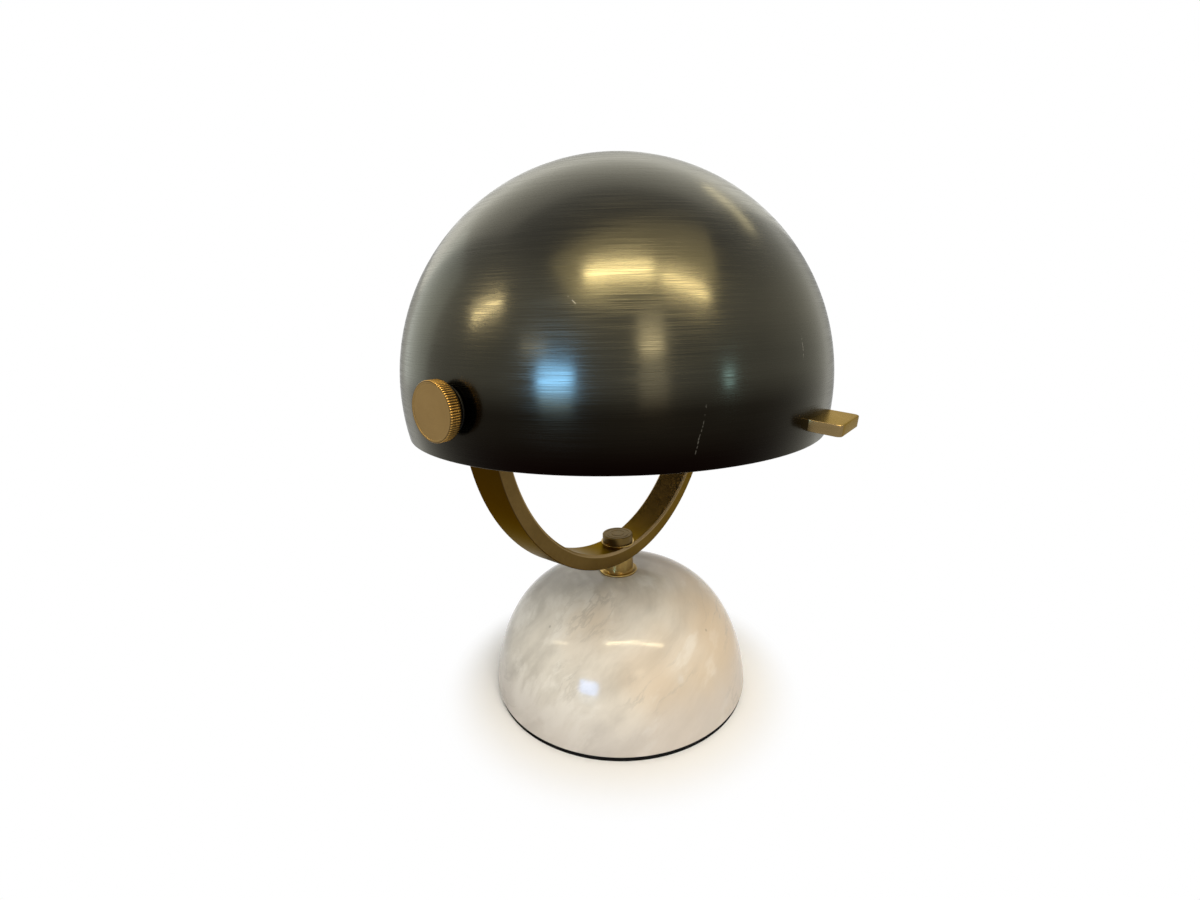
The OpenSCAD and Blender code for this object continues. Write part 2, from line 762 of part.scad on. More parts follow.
// screw cap with rolled thread rings; open below for the insulator and above for the glass
module bulb_cap() {
    wall = 0.5;
    steps = 48;
    mid_r = lamp_cap_r - thread_depth / 2;
    span = lamp_cap_high - lamp_cap_low - 2;
    wave = [for (i = [0:steps]) let (z = span * i / steps)
        [mid_r + thread_depth / 2 * sin(360 * z / thread_pitch), lamp_cap_low + z]];
    inner = [for (i = [steps:-1:2]) [wave[i][0] - wall, wave[i][1]]];
    color("#c9c7c1")
        translate([0, 0, lamp_z])
            rotate_extrude() polygon(concat([[lamp_throat_r, lamp_cap_low]], wave,
                [[mid_r, lamp_cap_high], [mid_r - wall, lamp_cap_high]], inner,
                [[lamp_throat_r, wave[2][1]]]));
}

module bulb_insulator() {
    low_r = 5;
    shoulder_r = 11;
    top_r = lamp_throat_r - 0.1;
    shoulder_z = lamp_cap_low - 0.6;
    top_z = lamp_cap_low + 0.8;
    color("#201f24")
        translate([0, 0, lamp_z])
            rotate_extrude() polygon([[0, tip_t], [low_r, tip_t], [shoulder_r, shoulder_z],
                [top_r, top_z], [0, top_z]]);
}

module bulb_contact() {
    contact_r = 4.6;
    edge_r = 1.2;
    edge_h = 0.6;
    color("#c9c7c1")
        translate([0, 0, lamp_z])
            rotate_extrude() polygon([[0, 0], [contact_r - edge_r, 0], [contact_r, edge_h],
                [contact_r, tip_t], [0, tip_t]]);
}

// opal glass: a sphere that eases into a neck, which ends inside the screw cap
module bulb_glass() {
    join = -34;
    step = 6;
    neck_steps = 12;
    join_r = bulb_r * cos(join);
    join_z = bulb_z + bulb_r * sin(join);
    span = join_z - neck_z;
    lip_depth = 4;
    lip_gap = 0.9;
    lip_z = lamp_cap_high - lip_depth;
    lip_r = lamp_cap_r - thread_depth - lip_gap;
    neck = [for (i = [0:neck_steps]) let (t = i / neck_steps)
        [ease(neck_r, 0, join_r, span * tan(-join), t), neck_z + span * t]];
    ball = arc(0, bulb_z, bulb_r, join + step, 90, 24);
    inner_ball = arc(0, bulb_z, bulb_r - glass_t, 90, join + step, 24);
    inner_neck = [for (i = [neck_steps:-1:0]) [neck[i][0] - glass_t, neck[i][1]]];
    color("#f4efe2")
        translate([0, 0, lamp_z])
            rotate_extrude() polygon(concat([[lip_r, lip_z], [lip_r, lamp_cap_high + seat_gap]], neck, ball,
                inner_ball, inner_neck, [[lip_r - glass_t, lamp_cap_high + seat_gap],
                [lip_r - glass_t, lip_z]]));
}

// spun dome: two spheres, cut off below the rim, with the pivot holes and the tab's screw holes
module shade() {
    block = 4 * shade_r;
    hole_len = tab_screw_depth;
    color("#3d3a33")
        difference() {
            translate([0, 0, shade_z]) sphere(r = shade_r, $fn = 180);
            translate([0, 0, shade_z]) sphere(r = shade_in_r, $fn = 180);
            translate([-block / 2, -block / 2, rim_z - block]) cube(block);
            translate([0, 0, pivot_z]) rotate([0, 90, 0])
                cylinder(r = spigot_r + turn_clearance, h = block, center = true);
            at_tab_screws()
                cylinder(r = tab_screw_r + bolt_clearance, h = 2 * hole_len, center = true);
        }
}

// frame of the tab: its origin is the dome's centre and -Y points along the tab
module at_tab() {
    translate([0, 0, shade_z]) rotate([tab_fall, 0, 0]) children();
}

// places the tab's screw axes at their seats inside the dome, with +Z pointing out along the tab
module at_tab_screws() {
    at_tab()
        for (x = [-tab_screw_spacing / 2, tab_screw_spacing / 2])
            translate([x, tab_seat_y, 0]) rotate([90, 0, 0]) children();
}

// flat bar with round corners and broken edges, its root hollowed to the dome
module tab_handle() {
    half = tab_w / 2;
    depth = tab_root_y - tab_end_y;
    plan = concat([[-half, tab_root_y]],
        arc(-half + tab_corner_r, tab_end_y + tab_corner_r, tab_corner_r, 180, 270, 8),
        arc(half - tab_corner_r, tab_end_y + tab_corner_r, tab_corner_r, 270, 360, 8), [[half, tab_root_y]]);
    color("#94753c")
        difference() {
            at_tab() intersection() {
                linear_extrude(tab_t, center = true) polygon(plan);
                translate([0, tab_root_y, 0]) rotate([90, 0, 0]) linear_extrude(depth)
                    polygon(broken_box(tab_w, tab_t, tab_edge));
                translate([0, tab_root_y, 0]) rotate([90, 0, 90])
                    linear_extrude(tab_w, center = true) polygon(broken_box(2 * depth, tab_t, tab_edge));
            }
            translate([0, 0, shade_z]) sphere(r = shade_r + seat_gap, $fn = 180);
            at_tab_screws() cylinder(r = tab_screw_r + seat_gap, h = tab_screw_depth + over);
        }
}

// outline of a bar's section with chamfered corners
function broken_box(w, h, c) = [
    [-w / 2 + c, -h / 2], [w / 2 - c, -h / 2], [w / 2, -h / 2 + c], [w / 2, h / 2 - c],
    [w / 2 - c, h / 2], [-w / 2 + c, h / 2], [-w / 2, h / 2 - c], [-w / 2, -h / 2 + c]];

module tab_screws() {
    color("#8f9194")
        at_tab_screws() mirror([0, 0, 1])
            pan_screw(tab_screw_r, tab_screw_depth, tab_screw_head_r, tab_screw_head_t);
}

// outline of the knurl: one ridge and one groove per step, round the full circle
function knurl(outer, inner) = [for (i = [0:2 * knurl_count - 1])
    let (a = i * 180 / knurl_count, r = i % 2 == 0 ? outer : inner) [r * cos(a), r * sin(a)]];

// clamp knob: plain lip, straight knurl, boss on the back, blind hole for its stud
module knob() {
    lip_r = knob_r - knurl_depth;
    groove_r = lip_r - 0.02;
    color("#8f7138")
        difference() {
            union() {
                along_pivot() rotate_extrude() polygon([[0, boss_face], [boss_r, boss_face],
                    [boss_r, knob_back], [lip_r - knob_chamfer, knob_back], [lip_r, knob_back + knob_chamfer],
                    [lip_r, knob_front - knob_chamfer], [lip_r - knob_chamfer, knob_front], [0, knob_front]]);
                along_pivot() translate([0, 0, knob_back + knob_chamfer])
                    linear_extrude(knob_t - knob_lip - knob_chamfer) polygon(knurl(knob_r, groove_r));
            }
            along_pivot() translate([0, 0, boss_face - over])
                cylinder(r = stud_r + seat_gap, h = stud_outer - boss_face + over);
        }
}

module knob_left() {
    left() knob();
}

module knob_right() {
    knob();
}

module stud() {
    tip = 0.6;
    color("#a5a7a9")
        along_pivot() rotate_extrude() polygon([[0, stud_inner], [stud_r - tip, stud_inner],
            [stud_r, stud_inner + tip], [stud_r, stud_outer], [0, stud_outer]]);
}

module stud_left() {
    left() stud();
}

module stud_right() {
    stud();
}

module knob_washer() {
    color("#77787a")
        along_pivot() translate([0, 0, knob_washer_face])
            ring(knob_washer_r, stud_r + bolt_clearance, knob_washer_t);
}

module knob_washer_left() {
    left() knob_washer();
}

module knob_washer_right() {
    knob_washer();
}

base_pad();
base_plate();
plate_screws();
marble_base();
cord_bush();
base_washer();
base_nut();
threaded_rod();
post_collar();
saddle_washer();
post_cap();
yoke();
yoke_block();
yoke_end_left();
yoke_end_right();
wire_grommet();
pivot_bush_left();
pivot_bush_right();
friction_washer_left();
friction_washer_right();
holder_bar();
bar_screws();
holder_nipple();
holder_nut();
holder_cup();
holder_core();
holder_contact();
holder_screw_shell();
holder_sleeve();
bulb_cap();
bulb_insulator();
bulb_contact();
bulb_glass();
shade();
tab_handle();
tab_screws();
knob_left();
knob_right();
stud_left();
stud_right();
knob_washer_left();
knob_washer_right();
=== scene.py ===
import json
from math import acos, asin, cos, hypot, pi, radians, sin, sqrt, tan

import bmesh
import bpy
import numpy as np
from mathutils import Matrix, Vector

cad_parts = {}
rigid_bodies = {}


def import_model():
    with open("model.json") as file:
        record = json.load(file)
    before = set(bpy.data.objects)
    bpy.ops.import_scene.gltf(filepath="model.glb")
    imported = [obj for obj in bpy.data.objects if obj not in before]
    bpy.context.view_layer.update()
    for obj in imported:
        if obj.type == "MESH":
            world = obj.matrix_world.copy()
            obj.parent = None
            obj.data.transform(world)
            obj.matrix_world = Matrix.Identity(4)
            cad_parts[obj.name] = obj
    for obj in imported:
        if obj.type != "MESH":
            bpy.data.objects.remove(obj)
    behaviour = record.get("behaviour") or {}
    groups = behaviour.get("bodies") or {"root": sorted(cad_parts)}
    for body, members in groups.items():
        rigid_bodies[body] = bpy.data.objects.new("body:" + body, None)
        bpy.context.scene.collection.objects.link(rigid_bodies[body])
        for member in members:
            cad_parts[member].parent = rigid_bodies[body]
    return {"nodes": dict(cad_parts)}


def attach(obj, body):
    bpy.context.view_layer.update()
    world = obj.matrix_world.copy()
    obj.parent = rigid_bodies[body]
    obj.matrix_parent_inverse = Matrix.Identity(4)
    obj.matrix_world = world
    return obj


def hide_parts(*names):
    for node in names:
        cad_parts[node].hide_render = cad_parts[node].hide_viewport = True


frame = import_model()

# Dome shade desk lamp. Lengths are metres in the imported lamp's own frame: the foot's centre is the
# origin, +Z is up, the tab handle points to -Y and the pivot axis with its two knobs lies along X.

MM = 0.001
# points nearer to each other than this become one
WELD = 2e-7

# the stone, as (r / STONE_R)^SIDE_POWER + (z / STONE_H)^CROWN_POWER = 1
STONE_R = 94.9 * MM
STONE_H = 86 * MM
SIDE_POWER = 3.14
CROWN_POWER = 1.83
STONE_FLAT_R = 15 * MM
PAD_T = 3 * MM
PAD_INSET = 1 * MM
ARRIS = 1.6 * MM
PLATE_REBATE_R = 46.2 * MM
PLATE_T = 1.6 * MM
RECESS_R = 34 * MM
RECESS_TOP = 29 * MM
ROD_HOLE_R = 5.2 * MM

# the cord inlet at the back of the stone
INLET_Z = 16 * MM
INLET_BORE_R = 3.2 * MM
INLET_SLEEVE_R = 5.2 * MM
INLET_SLEEVE_LEN = 14 * MM
INLET_FLANGE_R = 8 * MM
INLET_FLANGE_T = 2 * MM
INLET_PROUD = 0.4 * MM
INLET_LIP = 0.9 * MM
FLANGE_FIT = 0.2 * MM
SLEEVE_FIT = 0.05 * MM
INLET_WALL = 4 * MM

# post, yoke and pivot
COLLAR_R = 11.2 * MM
COLLAR_FLANGE_R = 14.2 * MM
COLLAR_FLANGE_T = 1.8 * MM
COLLAR_STEP = 0.55 * MM
COLLAR_H = 12.4 * MM
SADDLE_R = 12.2 * MM
SADDLE_T = 1 * MM
CAP_R = 11.1 * MM
CAP_H = 5.8 * MM
CAP_RINGS = (0.76 * CAP_R, 0.44 * CAP_R)
CAP_RING_HALF = 0.35 * MM
CAP_RING_DEPTH = 0.28 * MM
YOKE_OUT_R = 124 * MM
YOKE_T = 10.3 * MM
YOKE_IN_R = YOKE_OUT_R - YOKE_T
YOKE_W = 24.2 * MM
YOKE_INNER_CHAMFER = 1.5 * MM
YOKE_OUTER_CHAMFER = 0.5 * MM
YOKE_SOFT = 0.45 * MM
YOKE_CRISP = 0.27 * MM
ARM_STRAIGHT = 8.8 * MM
HEAD_START = 0.8 * MM
STUD_HOLE_R = 3.05 * MM

# the dome and what is fixed to it
DOME_R = 139.98 * MM
DOME_WALL = 1 * MM
SKIRT = 26.7 * MM
PIVOT_RISE = 2.5 * MM
SPIGOT_R = 5.2 * MM
SPIGOT_HOLE_R = 5.25 * MM
BUSH_R = 7 * MM
BUSH_FOOT_R = 8.5 * MM
BUSH_BORE_R = 3.2 * MM
BUSH_SHOULDER_R = 10 * MM
BUSH_SHOULDER_T = 2.4 * MM
FRICTION_WASHER_T = 0.8 * MM
MOVE_GAP = 0.3 * MM
TAB_W = 34.5 * MM
TAB_T = 6.5 * MM
TAB_REACH = 16.1 * MM
TAB_FALL = radians(5.5)
TAB_CORNER_R = 3.2 * MM
TAB_EDGE = 0.55 * MM

# clamp knobs
KNOB_R = 15.5 * MM
KNOB_T = 6.5 * MM
KNOB_STANDOFF = 4.5 * MM
KNOB_DISH = 0.25 * MM
KNOB_LIP = 1.5 * MM
KNOB_BEVEL = 0.45 * MM
KNOB_BORE_R = 3.1 * MM
KNOB_BORE_FLOOR = 2 * MM
KNURL_COUNT = 72
KNURL_DEPTH = 0.5 * MM
KNURL_SHARPNESS = 1.5
BOSS_R = 7.5 * MM
BOSS_FACE = 141.28 * MM
KNOB_WASHER_R = 12.5 * MM
KNOB_WASHER_T = 1 * MM
KNOB_WASHER_HOLE_R = 3.2 * MM

# lampholder and bulb, as heights above the carrying bar
BAR_DROP = 12 * MM
HOLDER_R = 17 * MM
HOLDER_WALL = 1.2 * MM
HOLDER_FLOOR = 1.5 * MM
HOLDER_BEAD = 1 * MM
HOLDER_MOUTH = 0.4 * MM
CUP_H = 14 * MM
SLEEVE_H = 30 * MM
LAMP_RISE = 14.2 * MM
LAMP_CAP_R = 13.2 * MM
LAMP_CAP_WALL = 0.5 * MM
LAMP_CAP_LOW = 5.2 * MM
LAMP_CAP_HIGH = 27 * MM
THREAD_PITCH = 3.6 * MM
THREAD_DEPTH = 0.6 * MM
THREAD_RUNOUT = 1.5 * MM
BULB_R = 30 * MM
BULB_LEN = 108 * MM
BULB_NECK_R = 13.6 * MM
BULB_NECK_Z = 32 * MM
BULB_JOIN = radians(-34)
GLASS_T = 1 * MM

FOOT_ANGLE = asin((PAD_T / STONE_H) ** (CROWN_POWER / 2))
CROWN_ANGLE = acos((STONE_FLAT_R / STONE_R) ** (SIDE_POWER / 2))
CROWN_Z = STONE_H * sin(CROWN_ANGLE) ** (2 / CROWN_POWER)
FOOT_R = STONE_R * cos(FOOT_ANGLE) ** (2 / SIDE_POWER)
ARC_Z = CROWN_Z + COLLAR_H + YOKE_OUT_R
YOKE_FLOOR_Z = ARC_Z - YOKE_IN_R
PIVOT_Z = ARC_Z + ARM_STRAIGHT
DOME_Z = PIVOT_Z - PIVOT_RISE
BAR_Z = PIVOT_Z - BAR_DROP
LAMP_Z = BAR_Z + LAMP_RISE


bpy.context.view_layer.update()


# ---- surfaces

def grid_faces(rows, cols, wrap_cols=False, wrap_rows=False):
    """Quads between neighbouring rows and columns of a point grid, joined round where it wraps."""
    index = np.arange(rows * cols).reshape(rows, cols)
    if wrap_cols:
        index = np.hstack([index, index[:, :1]])
    if wrap_rows:
        index = np.vstack([index, index[:1]])
    corners = index[:-1, :-1], index[:-1, 1:], index[1:, 1:], index[1:, :-1]
    return np.stack(corners, -1).reshape(-1, 4)


def sheet(points, finish=0, **wraps):
    """One part of a piece: its point grid, the quads on it and the number of its finish."""
    return points.reshape(-1, 3), grid_faces(*points.shape[:2], **wraps), finish


def drum(points, finish=0):
    """A part whose rows are loops, such as a turned one that ends on its axis or at another part."""
    return sheet(points, finish, wrap_cols=True)


def hoop(points):
    """A part that closes both ways, as a ring does."""
    return sheet(points, wrap_cols=True, wrap_rows=True)


def placed(name, data):
    """A new object with that mesh, camera or lamp, in the scene."""
    made = bpy.data.objects.new(name, data)
    bpy.context.scene.collection.objects.link(made)
    return made


def piece(name, parts, finishes, node, body="base", sharp=40.0):
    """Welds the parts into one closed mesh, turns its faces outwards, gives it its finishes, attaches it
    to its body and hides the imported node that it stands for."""
    offsets = np.cumsum([0] + [len(points) for points, _, _ in parts])
    points = np.vstack([part[0] for part in parts])
    faces = np.vstack([part[1] + offset for part, offset in zip(parts, offsets)])
    worn = np.concatenate([np.full(len(part[1]), part[2]) for part in parts])
    mesh = bpy.data.meshes.new(name)
    mesh.from_pydata(points.tolist(), [], faces.tolist())
    mesh.polygons.foreach_set("material_index", worn.astype(np.int32))
    work = bmesh.new()
    work.from_mesh(mesh)
    bmesh.ops.remove_doubles(work, verts=work.verts, dist=WELD)
    bmesh.ops.recalc_face_normals(work, faces=work.faces)
    work.to_mesh(mesh)
    work.free()
    mesh.shade_smooth()
    mesh.set_sharp_from_angle(angle=radians(sharp))
    for finish in finishes:
        mesh.materials.append(finish)
    made = placed(name, mesh)
    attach(made, body)
    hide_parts(node)


def softened(corners, steps=5, guard=0.06 * MM):
    """Outline through corners (a, b) and (a, b, radius). Each corner with a radius becomes an arc that
    is tangent to both of its sides, with one more point just outside each end so that the flats shade
    flat."""
    out = []
    for k, (a, b, *soft) in enumerate(corners):
        here = np.array([a, b])
        if not soft:
            out.append(here)
            continue
        radius = soft[0]
        before = np.array(corners[k - 1][:2]) - here
        after = np.array(corners[k + 1][:2]) - here
        before, after = before / np.linalg.norm(before), after / np.linalg.norm(after)
        half = acos(np.clip(before @ after, -1, 1)) / 2
        middle = (before + after) / np.linalg.norm(before + after)
        centre = here + middle * radius / sin(half)
        start = here + before * radius / tan(half) - centre
        end = here + after * radius / tan(half) - centre
        turn = pi - 2 * half
        share = np.linspace(0, 1, steps + 1)[:, None]
        arc = (np.sin((1 - share) * turn) * start + np.sin(share * turn) * end) / sin(turn)
        out.extend([centre + start + before * guard, *(centre + arc), centre + end + after * guard])
    return np.array(out)


def grid_of(x, y, z):
    """Point grid from three arrays of coordinates, each spread to the shape of all."""
    return np.stack(np.broadcast_arrays(x, y, z), -1)


def round_turn(steps):
    """The angles of that many equal steps round a circle."""
    return np.arange(steps) * 2 * pi / steps


def turned(profile, steps=128, height=None):
    """Points of a turned surface: each profile row (r, z) goes once round Z, and closes at a pole where
    r is nil. With a height, each z is what that function makes of it."""
    angle = round_turn(steps)
    radius, z = profile[:, 0, None], profile[:, 1, None]
    rise = z if height is None else height(radius, z, angle)
    return grid_of(radius * np.cos(angle), radius * np.sin(angle), rise)


def along_x(points, side):
    """Lays a surface that was turned about Z along the pivot axis, outwards to side +1 or -1."""
    return np.stack([side * points[..., 2], points[..., 0], PIVOT_Z + points[..., 1]], -1)


def lifted(points, z):
    """The same points, raised by z."""
    return points + np.array([0, 0, z])


def direction(azimuth, elevation):
    """Unit vector towards an azimuth from +X and an elevation, both in degrees."""
    turn, rise = radians(azimuth), radians(elevation)
    return Vector((cos(turn) * cos(rise), sin(turn) * cos(rise), sin(rise)))


# ---- shader nodes

class Value:
    """Output of a shader node that can be reckoned with. What it is added to, multiplied or fed with is
    a constant or another Value of the same tree."""

    def __init__(self, socket):
        self.socket = socket
        self.tree = socket.id_data

    def calc(self, operation, other=0.0):
        return node(self.tree, "Math", {0: self, 1: other}, operation=operation)

    def __add__(self, other):
        return self.calc("ADD", other)

    def __sub__(self, other):
        return self.calc("SUBTRACT", other)

    def __mul__(self, other):
        return self.calc("MULTIPLY", other)

    def __abs__(self):
        return self.calc("ABSOLUTE")

    def eased(self, low, high, start=0.0, end=1.0):
        """start below low, end above high, and a smooth passage between them."""
        sockets = {"Value": self, "From Min": low, "From Max": high, "To Min": start, "To Max": end}
        return node(self.tree, "MapRange", sockets, interpolation_type="SMOOTHSTEP")

    def mixed(self, a, b):
        """Colour that goes from a to b by this share."""
        return node(self.tree, "Mix", {0: self, 6: a, 7: b}, 2, data_type="RGBA")

    def noise(self, scale=1.0, detail=3.0, roughness=0.5, out="Fac"):
        """Noise at this point."""
        sockets = {"Vector": self, "Scale": scale, "Detail": detail, "Roughness": roughness}
        return node(self.tree, "TexNoise", sockets, out)

    def vector_calc(self, operation, other=(0.0, 0.0, 0.0), out=0):
        return node(self.tree, "VectorMath", {0: self, 1: other}, out, operation=operation)

    def stretched(self, *factors):
        """This point with each of its coordinates multiplied."""
        return self.vector_calc("MULTIPLY", factors)

    def length(self):
        return self.vector_calc("LENGTH", out="Value")

    def dot(self, other):
        return self.vector_calc("DOT_PRODUCT", other, "Value")

    def xyz(self):
        """The three coordinates of this point."""
        return [Value(out) for out in node(self.tree, "SeparateXYZ", {0: self}).socket.node.outputs]


def fill(socket, value):
    """Feeds a socket with a Value or a constant. A constant colour is opaque."""
    if isinstance(value, Value):
        socket.id_data.links.new(value.socket, socket)
    elif socket.type == "RGBA":
        socket.default_value = (*value, 1)
    else:
        socket.default_value = value


def node(tree, kind, sockets, out=0, **settings):
    """The named output of a new node of that kind."""
    made = tree.nodes.new("ShaderNode" + kind)
    for key, setting in settings.items():
        setattr(made, key, setting)
    for key, value in sockets.items():
        fill(made.inputs[key], value)
    return Value(made.outputs[out])


def vector(x, y, z):
    return node(x.tree, "CombineXYZ", {0: x, 1: y, 2: z})


class Finish:
    """A material with these constants on its own shader. Its point is the place on the piece."""

    def __init__(self, name, **sockets):
        self.material = bpy.data.materials.new(name)
        self.material.use_nodes = True
        self.tree = self.material.node_tree
        self.point = node(self.tree, "TexCoord", {}, "Object")
        self.feed(**sockets)

    def feed(self, **sockets):
        """Feeds the shader's sockets, each named with _ for a space."""
        inputs = self.tree.nodes["Principled BSDF"].inputs
        for socket, value in sockets.items():
            fill(inputs[socket.replace("_", " ")], value)

    def done(self, height, strength, distance, **sockets):
        """Feeds the shader, lets a height pattern tilt the surface, and gives the material."""
        bump = {"Height": height, "Strength": strength, "Distance": distance}
        self.feed(Normal=node(self.tree, "Bump", bump), **sockets)
        return self.material


# ---- finishes

# the dome's colour from crown to rim, a painted reflection of its surroundings: a lighter band, and
# painted shade near black at the rim; share of half a turn down from the crown, and its colour
DOME_PAINTED_REFLECTION = (
    (0.00, (0.022, 0.021, 0.017)),
    (0.29, (0.029, 0.027, 0.021)),
    (0.38, (0.056, 0.0515, 0.036)),
    (0.45, (0.040, 0.0375, 0.027)),
    (0.50, (0.0095, 0.0078, 0.0052)),
    (0.56, (0.0030, 0.0012, 0.0008)),
)
# the dome's scratches: azimuth and elevation of both ends, seen from the dome's centre, and strength
SCRATCHES = (
    ((-152.9, 23.2), (-151.0, 21.4), 0.45),
    ((-126.2, 3.2), (-128.4, -7.4), 0.22),
    ((-99.9, 13.9), (-100.3, 8.8), 0.45),
)
BARE_METAL = (0.34, 0.31, 0.25)
# the dome's specular tint facing the eye and at grazing; the dull grazing tint is a painted reflection that
# dims the dome's edges
TINT_FACING = (0.93, 0.92, 0.85)
EDGE_PAINTED_REFLECTION_TINT = (0.355, 0.352, 0.315)
BRASS_TINT = (0.85, 0.82, 0.75)
# bright brass along the yoke's inner chamfers: painted highlight as well as wear
RUBBED_EDGE_HIGHLIGHT_BRASS = (0.30, 0.215, 0.11)
GROOVE_PATINA = (0.046, 0.022, 0.004)
RIDGE_BRASS = (0.44, 0.25, 0.062)
# grain scales a metre: rings across a turned face, and the calmer ones along a knurled rim
RING_SCALE = 4200.0
KNURL_RING_SCALE = 500.0

STREAK_GREY = (0.50, 0.476, 0.440)
STREAK_WHITE = (0.76, 0.730, 0.680)
# painted warm light and shade: one side of the stone is pinkish beige
PAINTED_WARM_LIGHT_BEIGE = (0.60, 0.475, 0.345)
CLOUD_WHITE = (0.82, 0.80, 0.765)
# painted shade: the stone greys towards its foot
FOOT_SHADE_GREY = (0.54, 0.50, 0.485)
VEIN_GREY = (0.36, 0.335, 0.31)
SPECK_BLACK = (0.16, 0.15, 0.14)


def painted_reflection_tone(down):
    """The dome's painted reflection colour at that share of half a turn from the crown, eased from row to
    row.
    """
    tone = node(down.tree, "ValToRGB", {0: down})
    ramp = tone.socket.node.color_ramp
    ramp.interpolation = "EASE"
    for position, _ in DOME_PAINTED_REFLECTION[1:-1]:
        ramp.elements.new(position)
    for spot, (position, colour) in zip(ramp.elements, DOME_PAINTED_REFLECTION):
        spot.position, spot.color = position, (*colour, 1)
    return tone


def scratch(point, start, end, strength):
    """Share of a fine scratch along a great circle of the dome: full where the distance from the plane
    through the dome's centre and both ends is nil, none past the ends. One noise lets it wander and a
    finer one breaks it up."""
    wander, fade, core, edge = 1 * MM, 1 * MM, 0.05 * MM, 0.36 * MM
    first, last = DOME_R * direction(*start), DOME_R * direction(*end)
    plane, along = first.cross(last).normalized(), (last - first).normalized()
    middle, half = (first + last).dot(along) / 2, (last - first).length / 2
    off = abs(point.dot(plane) + (point.noise(240.0, detail=2.0) * (2 * wander) - wander))
    inside = abs(point.dot(along) - middle).eased(half - fade, half, 1.0, 0.0)
    broken = point.noise(620.0, detail=2.0).eased(0.42, 0.56)
    return off.eased(core, edge, strength, 0.0) * inside * broken


def brushed_bronze():
    """Dark bronze that was brushed round the dome's own axis and lacquered. Brush marks run along the
    circles of latitude, broad and fine ones together; its colour from crown to rim is a painted
    reflection of the surroundings, near black at the rim."""
    bronze = Finish("brushed_bronze", Metallic=1.0, Anisotropic=0.5, Anisotropic_Rotation=0.25)
    x, y, z = bronze.point.xyz()
    polar = vector(x, y, 0.0).length().calc("ARCTAN2", z - DOME_Z)

    def brush(pitch, spread, **kind):
        """Noise of that pitch from crown to rim, drawn out round the dome."""
        return vector(polar * pitch, x * spread, y * spread).noise(**kind)

    fine = brush(260.0, 24.0, detail=2.0, roughness=0.6)
    stain = bronze.point.noise(16.0) * 0.45 + brush(45.0, 7.0) * 0.06 + fine * 0.135
    worn = stain.eased(0.12, 0.55, 0.80, 1.20)
    grey = node(bronze.tree, "CombineColor", {0: worn, 1: worn, 2: worn})
    # painted reflection: the dome's colour from crown to rim, multiplied by the random stain
    shaded = node(bronze.tree, "Mix", {0: 1.0, 6: painted_reflection_tone(polar * (1 / pi)), 7: grey}, 2,
                  data_type="RGBA", blend_type="MULTIPLY")
    # painted reflection: the dome's edges take the dull grazing tint
    facing = node(bronze.tree, "LayerWeight", {"Blend": 0.5}, "Facing")
    centred = bronze.point.vector_calc("SUBTRACT", (0.0, 0.0, DOME_Z))
    marks = scratch(centred, *SCRATCHES[0])
    for ends in SCRATCHES[1:]:
        marks = marks.calc("MAXIMUM", scratch(centred, *ends))
    smooth = brush(520.0, 30.0, detail=1.0).eased(0.35, 0.65, 0.16, 0.28)
    round_z = node(bronze.tree, "VectorTransform", {0: vector(y * -1.0, x, 0.0)}, convert_from="OBJECT",
                   convert_to="WORLD")
    return bronze.done(fine, 0.026, 0.03 * MM, Base_Color=marks.mixed(shaded, BARE_METAL),
                       Roughness=marks * 0.3 + smooth, Tangent=round_z,
                       Specular_Tint=facing.eased(0.74, 0.96).mixed(TINT_FACING, EDGE_PAINTED_REFLECTION_TINT))


def inner_enamel():
    """Warm white baked enamel inside the dome, with a slight orange peel."""
    enamel = Finish("inner_enamel", Roughness=0.38, IOR=1.5)
    cloud, peel = enamel.point.noise(12.0), enamel.point.noise(900.0, detail=2.0)
    return enamel.done(peel, 0.25, 0.04 * MM,
                       Base_Color=cloud.mixed((0.70, 0.66, 0.57), (0.78, 0.745, 0.66)))


def yoke_wear_and_painted_light(point, colour, outside):
    """Colour by the distance from the yoke's arc: the face on its outer radius is darker, a painted
    reflection of dark surroundings, and the chamfers along its inner face are bright, a painted
    highlight as well as wear."""
    x, y, z = point.xyz()
    across = vector(x, (z - ARC_Z).calc("MINIMUM", 0.0), 0.0).length()
    # painted reflection: the face on the yoke's outer radius is darker
    outer_reflection_share = across.eased(YOKE_OUT_R - 0.6 * MM, YOKE_OUT_R - 0.05 * MM, 0.0, 0.85)
    off_edge = across - (YOKE_IN_R - YOKE_W / 2) - abs(y)
    # painted highlight as well as wear: bright along the inner chamfers
    rubbed_edge_highlight = off_edge.eased(YOKE_INNER_CHAMFER, YOKE_INNER_CHAMFER + 0.5 * MM, 0.75, 0.0)
    return rubbed_edge_highlight.mixed(outer_reflection_share.mixed(colour, outside), RUBBED_EDGE_HIGHLIGHT_BRASS)


def aged_brass(name, dark, light, tint, grain, roughness=0.34, outside=None):
    """Satin brass that has aged: brown clouds over yellow metal, and a fine grain that is stretched by
    the three factors of grain, so that it lies along the way the piece was worked. With an outside
    colour it also has the yoke's painted reflection on its outer face and its bright chamfers, a
    painted highlight as well as wear."""
    brass = Finish(name, Metallic=1.0, Specular_Tint=tint)
    lines = brass.point.stretched(*grain).noise(detail=4.0, roughness=0.6)
    stain = brass.point.noise(55.0, detail=4.0) * 0.65 + lines * 0.45
    colour = (stain - 0.05).mixed(dark, light)
    if outside:
        colour = yoke_wear_and_painted_light(brass.point, colour, outside)
    return brass.done(lines, 0.2, 0.04 * MM, Base_Color=colour, Roughness=lines * 0.16 + (roughness - 0.08))


